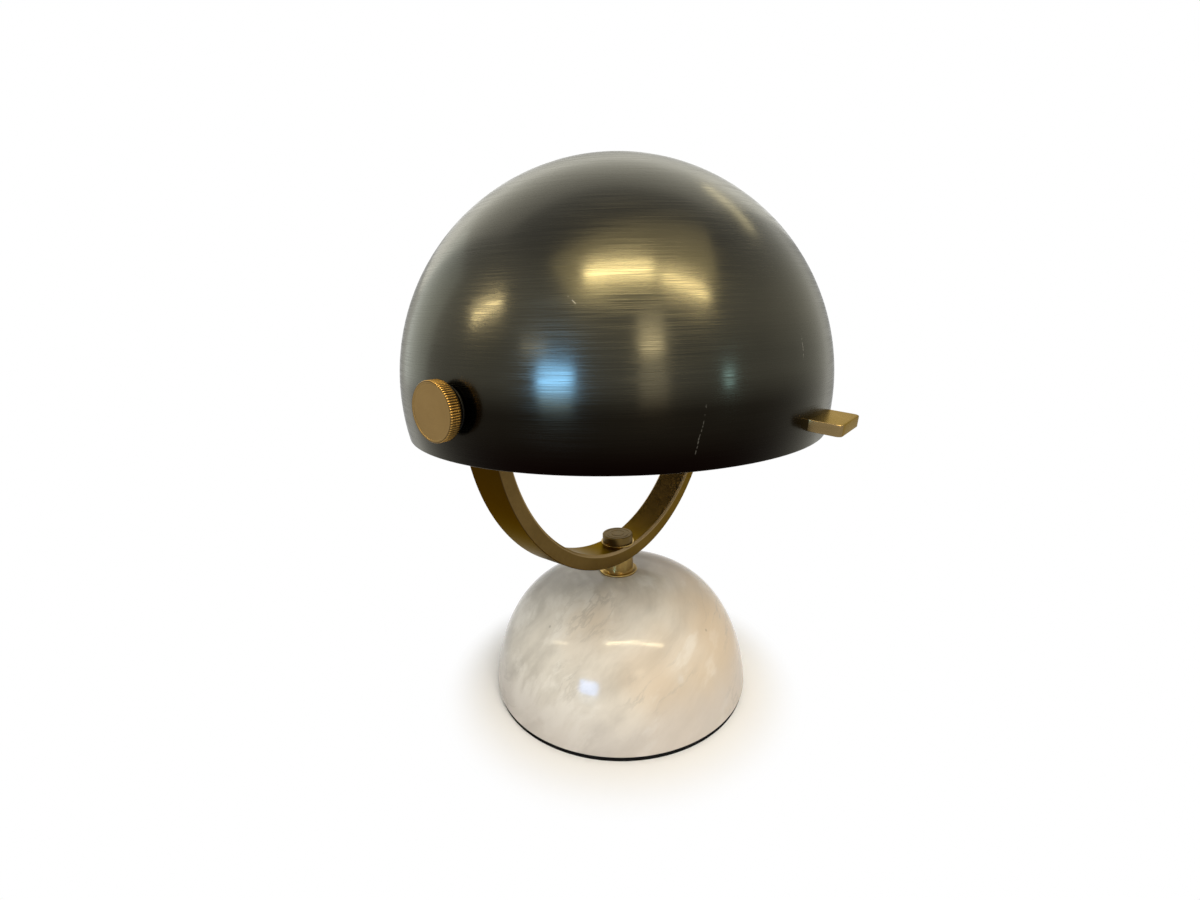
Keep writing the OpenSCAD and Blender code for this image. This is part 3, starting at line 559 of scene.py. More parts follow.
def knurl_wear(across, colour, ridge_r):
    """Wear of a knurl by the distance from its axis: brown tarnish fills the grooves just below the
    ridges' radius, and the tops of the ridges are bright."""
    valley_r = ridge_r - KNURL_DEPTH
    filled = across.eased(valley_r, ridge_r, 1.0, 0.0) * across.calc("GREATER_THAN", valley_r - 0.03 * MM)
    top = across.eased(ridge_r - 0.12 * MM, ridge_r, 0.0, 0.9)
    return top.mixed(filled.mixed(colour, GROOVE_PATINA), RIDGE_BRASS)


def turned_brass(name, dark, light, axis, centre, roughness=0.3, ridge_r=None):
    """Aged brass with the fine rings of turning: the grain depends on the distance from the piece's
    axis and on the place along it, so it runs round the piece. With a ridge_r it has a knurl's wear,
    and its rings stop short of the knurl."""
    brass = Finish(name, Metallic=1.0, Specular_Tint=BRASS_TINT)
    local = brass.point.vector_calc("SUBTRACT", centre)
    across = local.stretched(*[float(k != axis) for k in range(3)]).length()
    reach, along_scale = across, RING_SCALE
    if ridge_r:
        reach, along_scale = across.calc("MINIMUM", ridge_r - 1.6 * MM), KNURL_RING_SCALE
    rings = vector(reach * RING_SCALE, local.xyz()[axis] * along_scale, 0.0).noise(roughness=0.6)
    colour = (brass.point.noise(70.0, detail=4.0) * 0.6 + rings * 0.45).mixed(dark, light)
    if ridge_r:
        colour = knurl_wear(across, colour, ridge_r)
    return brass.done(rings, 0.16, 0.04 * MM, Base_Color=colour, Roughness=rings * 0.16 + (roughness - 0.08))


def marble_veins(point, warped):
    """Share of thin veins: full where a stretched noise crosses its middle value, in some places only."""
    ridge = abs(warped.stretched(16.0, 16.0, 66.0).noise(detail=6.0, roughness=0.62) - 0.5)
    return ridge.eased(0.0, 0.03, 1.0, 0.0) * point.noise(18.0).eased(0.45, 0.66) * 0.35


def marble_specks(point):
    """Share of small dark specks: the middles of a few cells of a cell pattern."""
    cell = node(point.tree, "TexVoronoi", {"Vector": point, "Scale": 75.0, "Randomness": 1.0})
    chance = node(point.tree, "SeparateColor", {0: Value(cell.socket.node.outputs["Color"])})
    return cell.eased(0.04, 0.10, 1.0, 0.0) * chance.calc("GREATER_THAN", 0.93) * 0.35


def polished_marble():
    """White marble: pale grey ground that warms to a pinkish beige on one side, painted warm light and
    shade, and greys towards the foot, painted shade; soft streaks that slant across the stone, thin
    faint veins and few small specks."""
    stone = Finish("polished_marble", Roughness=0.12, IOR=1.5, Specular_IOR_Level=0.10)
    point = stone.point
    x, y, z = point.xyz()
    slope = {"Vector": point, "Axis": (0.79, 0.61, 0.0), "Angle": radians(42)}
    slant = node(stone.tree, "VectorRotate", slope, rotation_type="AXIS_ANGLE")
    swirl = point.noise(14.0, out="Color").stretched(0.030, 0.030, 0.030)
    warped = swirl.vector_calc("ADD", slant)
    streak = warped.stretched(18.0, 18.0, 58.0).noise(detail=5.0, roughness=0.55)
    cloud = warped.stretched(24.0, 24.0, 52.0).noise(detail=5.0, roughness=0.6)
    # share across the stone towards its warm side: painted warm light and shade, with fewer white clouds
    # there
    side = point.noise(15.0, detail=2.0) * 0.16 + (x * 0.50 + y * -0.63)
    level = warped.noise(22.0) * 0.03 + z
    ground = streak.eased(0.27, 0.70).mixed(STREAK_GREY, STREAK_WHITE)
    for share, colour in (
            (side.eased(0.03, 0.15, 0.0, 0.9), PAINTED_WARM_LIGHT_BEIGE),
            (cloud.eased(0.52, 0.66) * side.eased(0.03, 0.15, 0.75, 0.15), CLOUD_WHITE),
            # painted shade towards the foot
            (level.eased(0.024, 0.062, 0.60, 0.0), FOOT_SHADE_GREY),
            (marble_veins(point, warped), VEIN_GREY),
            (marble_specks(point), SPECK_BLACK)):
        ground = share.mixed(ground, colour)
    return stone.done(cloud, 0.04, 0.2 * MM, Base_Color=ground)


def plain_finish(name, dark, light, metallic, roughness, scale, depth=0.03 * MM, **sockets):
    """A small part's finish: two near colours in soft clouds, a roughness that varies with them and a
    fine bump of the given scale and depth."""
    plain = Finish(name, Metallic=metallic, **sockets)
    grain = plain.point.noise(scale)
    return plain.done(grain, 0.3, depth, Base_Color=plain.point.noise(90.0).mixed(dark, light),
                      Roughness=grain * 0.1 + (roughness - 0.05))


BRONZE = brushed_bronze()
ENAMEL = inner_enamel()
MARBLE = polished_marble()
TAB_BRASS = aged_brass("tab_brass", (0.135, 0.090, 0.034), (0.275, 0.198, 0.096), (0.60, 0.51, 0.35),
                       (900.0, 60.0, 900.0), roughness=0.27)
# the yoke's brass is much darker than the tab's and the knobs': painted shade for the dome's shade over the
# yoke; its outside colour is a painted reflection
SHADED_YOKE_BRASS = aged_brass("shaded_yoke_brass", (0.058, 0.034, 0.009), (0.150, 0.096, 0.034), (0.66, 0.55, 0.36),
                        (260.0, 1500.0, 260.0), outside=(0.020, 0.0075, 0.0008))
KNOB_BRASS = turned_brass("knob_brass", (0.175, 0.106, 0.034), (0.270, 0.176, 0.066), 0,
                          (0.0, 0.0, PIVOT_Z), roughness=0.38, ridge_r=KNOB_R - 0.12 * MM)
# lighter than the cap's and the yoke's brass: painted light that stands in for the collar's highlight
POST_BRASS = turned_brass("post_brass", (0.200, 0.125, 0.034), (0.460, 0.322, 0.115), 2, (0.0, 0.0, 0.0))
CAP_BRASS = turned_brass("cap_brass", (0.070, 0.044, 0.012), (0.146, 0.097, 0.033), 2, (0.0, 0.0, 0.0),
                         roughness=0.42)
INLET_BRASS = turned_brass("inlet_brass", (0.110, 0.070, 0.024), (0.240, 0.165, 0.066), 1,
                           (0.0, 0.0, INLET_Z))
RAW_BRASS = plain_finish("raw_brass", (0.50, 0.35, 0.14), (0.62, 0.45, 0.20), 1.0, 0.30, 600.0)
ZINC = plain_finish("zinc_plate", (0.36, 0.37, 0.38), (0.50, 0.51, 0.52), 1.0, 0.36, 800.0)
# near black: painted shade, so that each knob washer sits in the shade beside its knob
WASHER_SHADE_STEEL = plain_finish("washer_shade_steel", (0.010, 0.0095, 0.0085), (0.022, 0.021, 0.019), 1.0, 0.5, 800.0)
NICKEL = plain_finish("nickel_plate", (0.58, 0.57, 0.54), (0.70, 0.69, 0.66), 1.0, 0.24, 700.0, 0.02 * MM)
BLACK_STEEL = plain_finish("black_paint", (0.030, 0.030, 0.033), (0.050, 0.050, 0.055), 0.0, 0.5, 1200.0,
                           0.06 * MM)
PAD_FOAM = plain_finish("pad_rubber", (0.004,) * 3, (0.009,) * 3, 0.0, 0.9, 1600.0, 0.15 * MM,
                        Specular_IOR_Level=0.03)
FIBRE = plain_finish("pressed_fibre", (0.040, 0.037, 0.033), (0.070, 0.064, 0.056), 0.0, 0.75, 1500.0,
                     0.1 * MM)
MOULDING = plain_finish("black_moulding", (0.014, 0.014, 0.015), (0.024, 0.024, 0.025), 0.0, 0.33, 500.0,
                        0.04 * MM, IOR=1.5)
PORCELAIN = plain_finish("porcelain", (0.80, 0.78, 0.72), (0.87, 0.85, 0.80), 0.0, 0.16, 300.0, IOR=1.5)
CAP_GLASS = plain_finish("black_glass", (0.015, 0.015, 0.02), (0.03, 0.03, 0.035), 0.0, 0.12, 300.0,
                         0.02 * MM, IOR=1.5)
OPAL = plain_finish("opal_glass", (0.90, 0.88, 0.83), (0.94, 0.925, 0.88), 0.0, 0.26, 250.0, 0.02 * MM,
                    IOR=1.5)


# ---- dome

def on_dome(radius, elevation, azimuth):
    """Points of a sphere about the dome's centre, by elevation and azimuth from +X."""
    flat = radius * np.cos(elevation)
    return grid_of(flat * np.cos(azimuth), flat * np.sin(azimuth), DOME_Z + radius * np.sin(elevation))


def hole_ring(radius, angle):
    """Where the pivot hole, a cylinder along X, meets the sphere of that radius."""
    y = SPIGOT_HOLE_R * np.cos(angle)
    z = PIVOT_RISE + SPIGOT_HOLE_R * np.sin(angle)
    return np.stack([np.sqrt(radius ** 2 - y ** 2 - z ** 2), y, DOME_Z + z], -1)


def dome_half(radius, rim_elevation, rim_azimuth):
    """Half a dome with its pivot hole. Its outline is the rim and the great circle over the crown; each
    grid line is the great-circle arc that runs straight from the hole's edge to one outline point."""
    rows, crown_columns = 64, 150
    crown = np.linspace(rim_elevation, pi - rim_elevation, crown_columns)
    over = grid_of(0, radius * np.cos(crown), DOME_Z + radius * np.sin(crown))
    rim = on_dome(radius, rim_elevation, rim_azimuth)
    outline = np.vstack([rim, over[1:-1]])
    centre = np.array([0, 0, DOME_Z])
    away = (outline - centre) / radius
    angle = np.arctan2(away[:, 2] - PIVOT_RISE / radius, away[:, 1])
    start = (hole_ring(radius, angle) - centre) / radius
    span = np.arccos(np.clip(np.sum(start * away, 1), -1, 1))[:, None]
    share = np.linspace(0, 1, rows)[:, None, None]
    arcs = (np.sin((1 - share) * span) * start + np.sin(share * span) * away) / np.sin(span)
    return centre + radius * arcs, hole_ring(radius, angle)


def build_shade():
    """Spun dome: outer and inner wall, rolled rim edge and pivot holes; the left half mirrors the
    right one."""
    middle_r = DOME_R - DOME_WALL / 2
    rim_elevation = asin((DOME_WALL / 2 - SKIRT) / middle_r)
    azimuth = np.linspace(-pi / 2, pi / 2, 121)
    outer, outer_hole = dome_half(DOME_R, rim_elevation, azimuth)
    inner, inner_hole = dome_half(DOME_R - DOME_WALL, rim_elevation, azimuth)
    turn = np.linspace(0, pi, 9)[:, None]
    radius = middle_r + DOME_WALL / 2 * np.cos(turn)
    drop = DOME_WALL / 2 * np.sin(turn) / middle_r
    edge = on_dome(radius, rim_elevation - drop, azimuth[None, :])
    parts = []
    for side in (1, -1):
        mirror = np.array([side, 1, 1])
        parts += [drum(outer * mirror), drum(inner * mirror, finish=1), sheet(edge * mirror),
                  drum(np.stack([outer_hole, inner_hole]) * mirror)]
    piece("shade_dome", parts, [BRONZE, ENAMEL], "shade", "shade", sharp=50.0)


def tab_outline(inset):
    """Half-width and end of the tab's plan, drawn in by inset: straight sides, then an arc of the corner
    radius, then the straight end. Returns the x columns and the y where each one ends."""
    corner, straight = TAB_CORNER_R - inset, TAB_W / 2 - TAB_CORNER_R
    turn = np.linspace(0, pi / 2, 9)
    side_x = straight + corner * np.cos(turn)
    end_y = -(DOME_R + TAB_REACH) + TAB_CORNER_R - corner * np.sin(turn)
    middle = np.linspace(straight, -straight, 12)[1:-1]
    x = np.concatenate([side_x, middle, -side_x[::-1]])
    y = np.concatenate([end_y, np.full(len(middle), end_y[-1]), end_y[::-1]])
    return x, y


def tab_columns(inset, height, share):
    """Rows from the dome's wall to the tab's end at one height, one column for each outline point. They
    are laid out about the dome's centre and then turned down by the tab's slope."""
    x, end_y = tab_outline(inset)
    root_r = DOME_R - DOME_WALL * 0.4
    root_y = -np.sqrt(root_r ** 2 - x ** 2 - height ** 2)
    out = root_y + (end_y - root_y) * share[:, None]
    y = out * cos(TAB_FALL) - height * sin(TAB_FALL)
    z = DOME_Z + out * sin(TAB_FALL) + height * cos(TAB_FALL)
    return grid_of(x, y, z)


def build_tab():
    """Flat bar with round corners and softened edges, its root shaped to the dome: a top and a bottom
    grid, a band round both sides and the end, and a cap at the root."""
    turn = np.linspace(0, pi / 2, 6)
    inset = TAB_EDGE * (1 - np.sin(turn))
    rise = TAB_T / 2 - TAB_EDGE * (1 - np.cos(turn))
    insets = np.concatenate([inset, inset[::-1]])
    rises = np.concatenate([rise, -rise[::-1]])
    share = np.concatenate([[0.0], np.linspace(0.02, 1, 14)])
    top = tab_columns(TAB_EDGE, TAB_T / 2, share)
    bottom = tab_columns(TAB_EDGE, -TAB_T / 2, share)
    levels = [tab_columns(i, h, share) for i, h in zip(insets, rises)]
    rims = np.array([np.vstack([grid[:-1, 0], grid[-1], grid[-2::-1, -1]]) for grid in levels])
    roots = np.array([grid[0] for grid in levels])
    parts = [sheet(top), sheet(bottom), sheet(rims), sheet(roots)]
    piece("tab", parts, [TAB_BRASS], "tab_handle", body="shade")


# ---- knobs

def knob_profile():
    """Half section of a knob, from its face's centre over the narrow lip, round the rim and the boss and
    back to the axis."""
    back = DOME_R + KNOB_STANDOFF
    front = back + KNOB_T
    face, lip_r, bevel_r = front - KNOB_DISH, KNOB_R - KNOB_LIP, KNOB_R - KNOB_BEVEL
    corners = [(0, face), (lip_r, face, 0.15 * MM), (lip_r + KNOB_DISH, front, 0.1 * MM),
               (bevel_r, front, 0.15 * MM)]
    rim = [(KNOB_R, z) for z in np.linspace(front - KNOB_BEVEL, back + KNOB_BEVEL, 7)]
    tail = [(bevel_r, back, 0.15 * MM), (BOSS_R, back, 0.5 * MM), (BOSS_R, BOSS_FACE, 0.2 * MM),
            (KNOB_BORE_R, BOSS_FACE), (KNOB_BORE_R, face - KNOB_BORE_FLOOR),
            (0, face - KNOB_BORE_FLOOR)]
    return softened(corners + rim + tail)


def build_knob(hand, side):
    """Clamp knob. The knurl is a wave round the rim: between two ridges the radius is held to the rim's
    less the knurl's depth times 1 - |cos|^1.5 of the turn, so the ridges are narrow and rounded, and
    they run out in the bevels at the front and the back."""
    steps = KNURL_COUNT * 8
    profile = knob_profile()
    points = turned(profile, steps)
    valley = 1 - np.abs(np.cos(KNURL_COUNT * round_turn(steps) / 2)) ** KNURL_SHARPNESS
    limit = KNOB_R - KNURL_DEPTH * valley
    across = np.maximum(profile[:, 0, None], 1e-9)
    points[..., :2] *= np.minimum(1, limit / across)[..., None]
    piece("clamp_knob_" + hand, [drum(along_x(points, side))], [KNOB_BRASS], "knob_" + hand,
          body="knob_" + hand, sharp=60.0)


def build_knob_washer(hand, side):
    """Flat steel washer with rounded edges between dome and knob; its near-black colour is painted shade."""
    high, edge = BOSS_FACE, 0.2 * MM
    low = high - KNOB_WASHER_T
    ring = [(KNOB_WASHER_HOLE_R, low), (KNOB_WASHER_R, low, edge), (KNOB_WASHER_R, high, edge),
            (KNOB_WASHER_HOLE_R, high)]
    points = along_x(turned(softened(ring), 96), side)
    piece("clamp_washer_" + hand, [hoop(points)], [WASHER_SHADE_STEEL], "knob_washer_" + hand,
          "knob_" + hand)


# ---- base

def stone_point(angle, azimuth):
    """The stone's surface by profile angle and azimuth: r = R cos(a)^(2/p), z = H sin(a)^(2/q)."""
    radius = STONE_R * np.cos(angle) ** (2 / SIDE_POWER)
    z = STONE_H * np.sin(angle) ** (2 / CROWN_POWER)
    return grid_of(radius * np.cos(azimuth), radius * np.sin(azimuth), z)


def stone_angle(z):
    """The stone's profile angle at a height."""
    return np.arcsin((z / STONE_H) ** (CROWN_POWER / 2))


def inlet_collar(angle, azimuth):
    """The stone round the cord inlet: a ring of the grid is let out, and rows run from its outline to
    the round hole, straight in profile angle and azimuth, so all of them stay on the stone."""
    sides = ((angle[0], azimuth), (angle, azimuth[-1]), (angle[-1], azimuth[::-1]),
             (angle[::-1], azimuth[0]))
    ring = np.concatenate([np.stack(np.broadcast_arrays(*side), -1)[:-1] for side in sides])
    outline = stone_point(ring[:, 0], ring[:, 1])
    turn = np.arctan2(outline[:, 2] - INLET_Z, outline[:, 0])
    hole_r = INLET_FLANGE_R + FLANGE_FIT
    hole_angle = stone_angle(INLET_Z + hole_r * np.sin(turn))
    hole_azimuth = np.arccos(hole_r * np.cos(turn) / (STONE_R * np.cos(hole_angle) ** (2 / SIDE_POWER)))
    hole = np.stack([hole_angle, hole_azimuth], -1)
    share = np.linspace(0, 1, 7)[:, None, None]
    track = ring + (hole - ring) * share
    return stone_point(track[..., 0], track[..., 1]), turn


def inlet_face():
    """Distance of the inlet bush's face from the lamp's middle plane."""
    return STONE_R * cos(stone_angle(INLET_Z)) ** (2 / SIDE_POWER) + INLET_PROUD


def inlet_tunnel(mouth, turn):
    """Walls of the inlet: the counterbore for the flange, its floor, and the round way in, closed at
    its far end inside the stone."""
    seat_y, end_y = inlet_face() - INLET_FLANGE_T, RECESS_R + INLET_WALL
    bore_r = INLET_SLEEVE_R + SLEEVE_FIT
    rows = [mouth]
    for radius, y in ((INLET_FLANGE_R + FLANGE_FIT, seat_y), (bore_r, seat_y), (bore_r, end_y),
                      (0.0, end_y)):
        rows.append(grid_of(radius * np.cos(turn), y, INLET_Z + radius * np.sin(turn)))
    return np.array(rows)


def build_stone():
    """Turned marble base: the profile formula goes round Z, with the inlet's hole let in at the back,
    and a second turned surface closes crown, rod hole, recess and underside."""
    angle = np.linspace(stone_angle(PAD_T + ARRIS), CROWN_ANGLE, 74)
    azimuth = np.arange(181) * radians(2) + pi / 2 - radians(10)
    low, high, wide = 1, 16, 10
    surface = stone_point(angle[:, None], azimuth[None, :])
    foot_r = hypot(*surface[0, 0, :2])
    collar, turn = inlet_collar(angle[low:high + 1], azimuth[:wide + 1])
    corners = [(STONE_FLAT_R, CROWN_Z), (ROD_HOLE_R, CROWN_Z), (ROD_HOLE_R, RECESS_TOP),
               (RECESS_R, RECESS_TOP), (RECESS_R, PAD_T + PLATE_T),
               (PLATE_REBATE_R, PAD_T + PLATE_T), (PLATE_REBATE_R, PAD_T),
               (foot_r, PAD_T, ARRIS - 0.1 * MM), (foot_r, PAD_T + ARRIS)]
    above, beside, below = surface[high:], surface[low:high + 1, wide:], surface[:low + 1]
    parts = [sheet(above), sheet(beside), sheet(below), drum(collar),
             drum(inlet_tunnel(collar[-1], turn)), drum(turned(softened(corners, steps=8), 180))]
    piece("marble_stone", parts, [MARBLE], "marble_base", sharp=35.0)


def build_pad():
    """Black foot pad with softened edges."""
    radius = FOOT_R - PAD_INSET
    corners = [(0, 0), (radius, 0, 0.5 * MM), (radius, PAD_T, 0.4 * MM), (0, PAD_T)]
    piece("foot_pad", [drum(turned(softened(corners), 180))], [PAD_FOAM], "base_pad")


def build_inlet_bush():
    """Flanged brass bush with a rounded mouth, turned about Y."""
    face = inlet_face()
    seat = face - INLET_FLANGE_T
    corners = [(INLET_BORE_R, seat - INLET_SLEEVE_LEN), (INLET_SLEEVE_R, seat - INLET_SLEEVE_LEN),
               (INLET_SLEEVE_R, seat), (INLET_FLANGE_R, seat), (INLET_FLANGE_R, face, 0.6 * MM),
               (INLET_BORE_R, face, INLET_LIP), (INLET_BORE_R, face - 2 * INLET_LIP)]
    local = turned(softened(corners, steps=7), 96)
    points = np.stack([local[..., 0], local[..., 2], INLET_Z + local[..., 1]], -1)
    piece("inlet_bush", [hoop(points)], [INLET_BRASS], "cord_bush")


# ---- post and yoke

def fitted(corners, yoke_r, fitted_z, low):
    """Turned ring with low as its lowest height. Its rows at fitted_z are lifted or let down to the
    yoke's inner or outer face, whose height at x is the arc's centre less sqrt(R^2 - x^2)."""
    def height(radius, z, angle):
        face = ARC_Z - np.sqrt(yoke_r ** 2 - (radius * np.cos(angle)) ** 2)
        return np.where(np.abs(z - fitted_z) < 0.01 * MM, face, low + z)

    return hoop(turned(softened(corners), height=height))


def build_collar():
    """Collar between stone and yoke, its top fitted to the yoke's round underside."""
    flange, top, step_r = COLLAR_FLANGE_T, COLLAR_H, COLLAR_R + COLLAR_STEP
    corners = [(ROD_HOLE_R, 0), (COLLAR_FLANGE_R, 0, 0.6 * MM), (COLLAR_FLANGE_R, flange, 0.7 * MM),
               (step_r, flange, 0.12 * MM), (step_r, flange + 0.5 * MM, 0.2 * MM),
               (COLLAR_R, flange + 0.75 * MM, 0.25 * MM), (COLLAR_R, top), (ROD_HOLE_R, top)]
    piece("collar", [fitted(corners, YOKE_OUT_R, top, CROWN_Z)], [POST_BRASS], "post_collar")


def build_saddle_washer():
    """Washer under the cap nut, flat above and fitted to the yoke's floor below."""
    corners = [(ROD_HOLE_R, 0), (SADDLE_R, 0), (SADDLE_R, SADDLE_T, 0.25 * MM),
               (ROD_HOLE_R, SADDLE_T)]
    piece("saddle", [fitted(corners, YOKE_IN_R, 0, YOKE_FLOOR_Z)], [POST_BRASS], "saddle_washer")


def build_cap():
    """Cap nut: softened rim and two shallow turned rings in its top."""
    low = YOKE_FLOOR_Z + SADDLE_T
    top = low + CAP_H
    corners = [(0, low), (CAP_R, low, 0.35 * MM), (CAP_R, top, 0.8 * MM)]
    for ring_r in CAP_RINGS:
        corners += [(ring_r + CAP_RING_HALF, top, 0.15 * MM), (ring_r, top - CAP_RING_DEPTH, 0.15 * MM),
                    (ring_r - CAP_RING_HALF, top, 0.15 * MM)]
    corners.append((0, top))
    piece("cap_nut", [drum(turned(softened(corners)))], [CAP_BRASS], "post_cap")


def yoke_section():
    """Closed outline of the yoke's tube as (distance from the arc's centre, y), with its chamfers and
    their edges softened. It starts in the middle of the inner face, and its last point would be its
    first again."""
    half, inner, outer = YOKE_W / 2, YOKE_INNER_CHAMFER, YOKE_OUTER_CHAMFER
    upper = [(YOKE_IN_R, half - inner, YOKE_SOFT), (YOKE_IN_R + inner, half, YOKE_SOFT),
             (YOKE_OUT_R - outer, half, YOKE_CRISP), (YOKE_OUT_R, half - outer, YOKE_CRISP)]
    lower = [(distance, -y, soft) for distance, y, soft in reversed(upper)]
    middle = (YOKE_IN_R, 0)
    return softened([middle, *upper, *lower, middle], steps=4)[:-1]


def build_yoke():
    """The tube's outline is carried along half a circle, then straight up both arms; each end closes
    in the middle of its outline."""
    section = yoke_section()
    turn = np.concatenate([[pi], np.linspace(pi, 2 * pi, 181), [2 * pi]])
    lift = np.zeros(len(turn))
    lift[[0, -1]] = HEAD_START
    radius, y = section[:, 0], section[:, 1]
    x = np.cos(turn)[:, None] * radius
    z = ARC_Z + np.sin(turn)[:, None] * radius + lift[:, None]
    tube = grid_of(x, y, z)
    first = np.repeat(tube[:1].mean(1, keepdims=True), len(section), 1)
    last = np.repeat(tube[-1:].mean(1, keepdims=True), len(section), 1)
    points = np.concatenate([first, tube, last])
    piece("yoke_bow", [drum(points)], [SHADED_YOKE_BRASS], "yoke", sharp=30.0)


def head_outline(inset):
    """Outline of an arm's head in the (y, z) plane, drawn in by inset: flat foot, straight sides and a
    half circle about the pivot."""
    half = YOKE_W / 2 - inset
    foot = ARC_Z + HEAD_START - PIVOT_Z
    turn = np.linspace(0, pi, 49)
    side = np.linspace(foot, 0, 7)[:-1]
    across = np.linspace(-half, half, 13)[:-1]
    y = np.concatenate([across, np.full(6, half), half * np.cos(turn), np.full(5, -half)])
    z = np.concatenate([np.full(12, foot), side, half * np.sin(turn), side[:0:-1]])
    return y, z


def build_arm_head(hand, side):
    """Solid end of an arm: the head's outline is carried from the inner to the outer face with a
    softened chamfer at each, and both faces run in to the stud's hole."""
    inner, outer, lead = YOKE_INNER_CHAMFER, YOKE_OUTER_CHAMFER, 1 * MM
    edge = [(inner + lead, YOKE_IN_R), (inner, YOKE_IN_R, YOKE_SOFT), (0, YOKE_IN_R + inner, YOKE_SOFT),
            (0, YOKE_OUT_R - outer, YOKE_CRISP), (outer, YOKE_OUT_R, YOKE_CRISP),
            (outer + lead, YOKE_OUT_R)]
    loops = [grid_of(x, *head_outline(inset)) for inset, x in softened(edge, steps=4)]
    turn = np.arctan2(loops[0][:, 2], loops[0][:, 1])
    hole = grid_of(0, STUD_HOLE_R * np.cos(turn), STUD_HOLE_R * np.sin(turn))
    rows = np.stack([hole + [YOKE_IN_R, 0, 0], *loops, hole + [YOKE_OUT_R, 0, 0]])
    rows[..., 2] += PIVOT_Z
    rows[..., 0] *= side
    piece("arm_head_" + hand, [hoop(rows)], [SHADED_YOKE_BRASS], "yoke_end_" + hand, sharp=30.0)


def build_pivot_bush(hand, side):
    """Turned bush between arm and dome: foot, waist with round throats, shoulder and spigot."""
    dome_in = sqrt((DOME_R - DOME_WALL) ** 2 - (PIVOT_RISE + BUSH_SHOULDER_R) ** 2)
    shoulder = dome_in - MOVE_GAP - FRICTION_WASHER_T
    face = sqrt(DOME_R ** 2 - PIVOT_RISE ** 2)
    under = shoulder - BUSH_SHOULDER_T
    foot = YOKE_OUT_R + 1 * MM
    corners = [(BUSH_BORE_R, YOKE_OUT_R), (BUSH_FOOT_R, YOKE_OUT_R, 0.2 * MM),
               (BUSH_FOOT_R, foot, 0.2 * MM), (BUSH_R, foot + 0.6 * MM, 0.5 * MM),
               (BUSH_R, under - 1.2 * MM, 0.8 * MM), (BUSH_SHOULDER_R, under, 0.3 * MM),
               (BUSH_SHOULDER_R, shoulder, 0.2 * MM), (SPIGOT_R, shoulder), (SPIGOT_R, face),
               (BUSH_BORE_R, face)]
    points = along_x(turned(softened(corners), 96), side)
    piece("turned_bush_" + hand, [hoop(points)], [KNOB_BRASS], "pivot_bush_" + hand)


# ---- lampholder and bulb

def build_holder_cup():
    """Moulded cup with a rounded floor."""
    inner = HOLDER_R - HOLDER_WALL
    cup = [(ROD_HOLE_R, 0), (HOLDER_R, 0, 4 * MM), (HOLDER_R, CUP_H, 0.3 * MM), (inner, CUP_H),
           (inner, HOLDER_FLOOR, 2.8 * MM), (ROD_HOLE_R, HOLDER_FLOOR)]
    points = lifted(turned(softened(cup, steps=8)), BAR_Z)
    piece("holder_cup_shell", [hoop(points)], [MOULDING], "holder_cup")


def build_holder_sleeve():
    """Moulded sleeve with a bead at the joint and another at its rolled mouth."""
    inner = HOLDER_R - HOLDER_WALL
    turn = np.linspace(-pi / 2, pi / 2, 9)
    bead_r, bead_z = HOLDER_R + HOLDER_BEAD * np.cos(turn), HOLDER_BEAD * np.sin(turn)
    low = np.stack([bead_r, 1.6 * MM + bead_z], -1)
    high = np.stack([bead_r, SLEEVE_H - HOLDER_BEAD + bead_z], -1)
    mouth = [[inner + HOLDER_MOUTH, SLEEVE_H], [inner, SLEEVE_H - HOLDER_MOUTH]]
    sleeve = np.vstack([[[inner, 0], [HOLDER_R, 0]], low, high, mouth])
    points = lifted(turned(sleeve), BAR_Z + CUP_H)
    piece("holder_sleeve_shell", [hoop(points)], [MOULDING], "holder_sleeve")


def build_bulb_cap():
    """Screw cap. Its radius is a sine of the height less the pitch's share of the turn, which makes one
    rolled helix; the inner wall lies half a millimetre inside."""
    angle = round_turn(96)
    z = np.linspace(LAMP_CAP_LOW, LAMP_CAP_HIGH, 76)[:, None]
    top = np.clip((LAMP_CAP_HIGH - THREAD_RUNOUT - z) / THREAD_RUNOUT, 0, 1)
    foot = np.clip((z - LAMP_CAP_LOW) / THREAD_RUNOUT, 0, 1)
    wave = np.sin(2 * pi * z / THREAD_PITCH - angle)
    outer = LAMP_CAP_R - THREAD_DEPTH / 2 + THREAD_DEPTH / 2 * wave * top * foot

    def shell(radius):
        return grid_of(radius * np.cos(angle), radius * np.sin(angle), LAMP_Z + z)

    points = np.concatenate([shell(outer), shell(outer - LAMP_CAP_WALL)[::-1]])
    piece("bulb_screw_cap", [hoop(points)], [NICKEL], "bulb_cap", sharp=60.0)


def bulb_profile():
    """Outer neck and ball of the bulb as (r, z): the neck eases into the ball by a cubic that has the
    neck's and the ball's own slopes at its ends. Then the inner ball, from its pole."""
    ball_z = BULB_LEN - BULB_R
    join_r, join_z = BULB_R * cos(BULB_JOIN), ball_z + BULB_R * sin(BULB_JOIN)
    span = join_z - BULB_NECK_Z
    t = np.linspace(0, 1, 25)
    radius = (BULB_NECK_R * (1 + 2 * t) * (1 - t) ** 2 + join_r * t * t * (3 - 2 * t)
              - span * tan(-BULB_JOIN) * t * t * (1 - t))
    neck = np.stack([radius, BULB_NECK_Z + span * t], -1)
    turn = np.linspace(BULB_JOIN, pi / 2, 40)[1:]
    unit = np.stack([np.cos(turn), np.sin(turn)], -1)
    unit[-1, 0] = 0.0
    ball, inner_ball = [0, ball_z] + BULB_R * unit, [0, ball_z] + (BULB_R - GLASS_T) * unit[::-1]
    return neck, ball, inner_ball


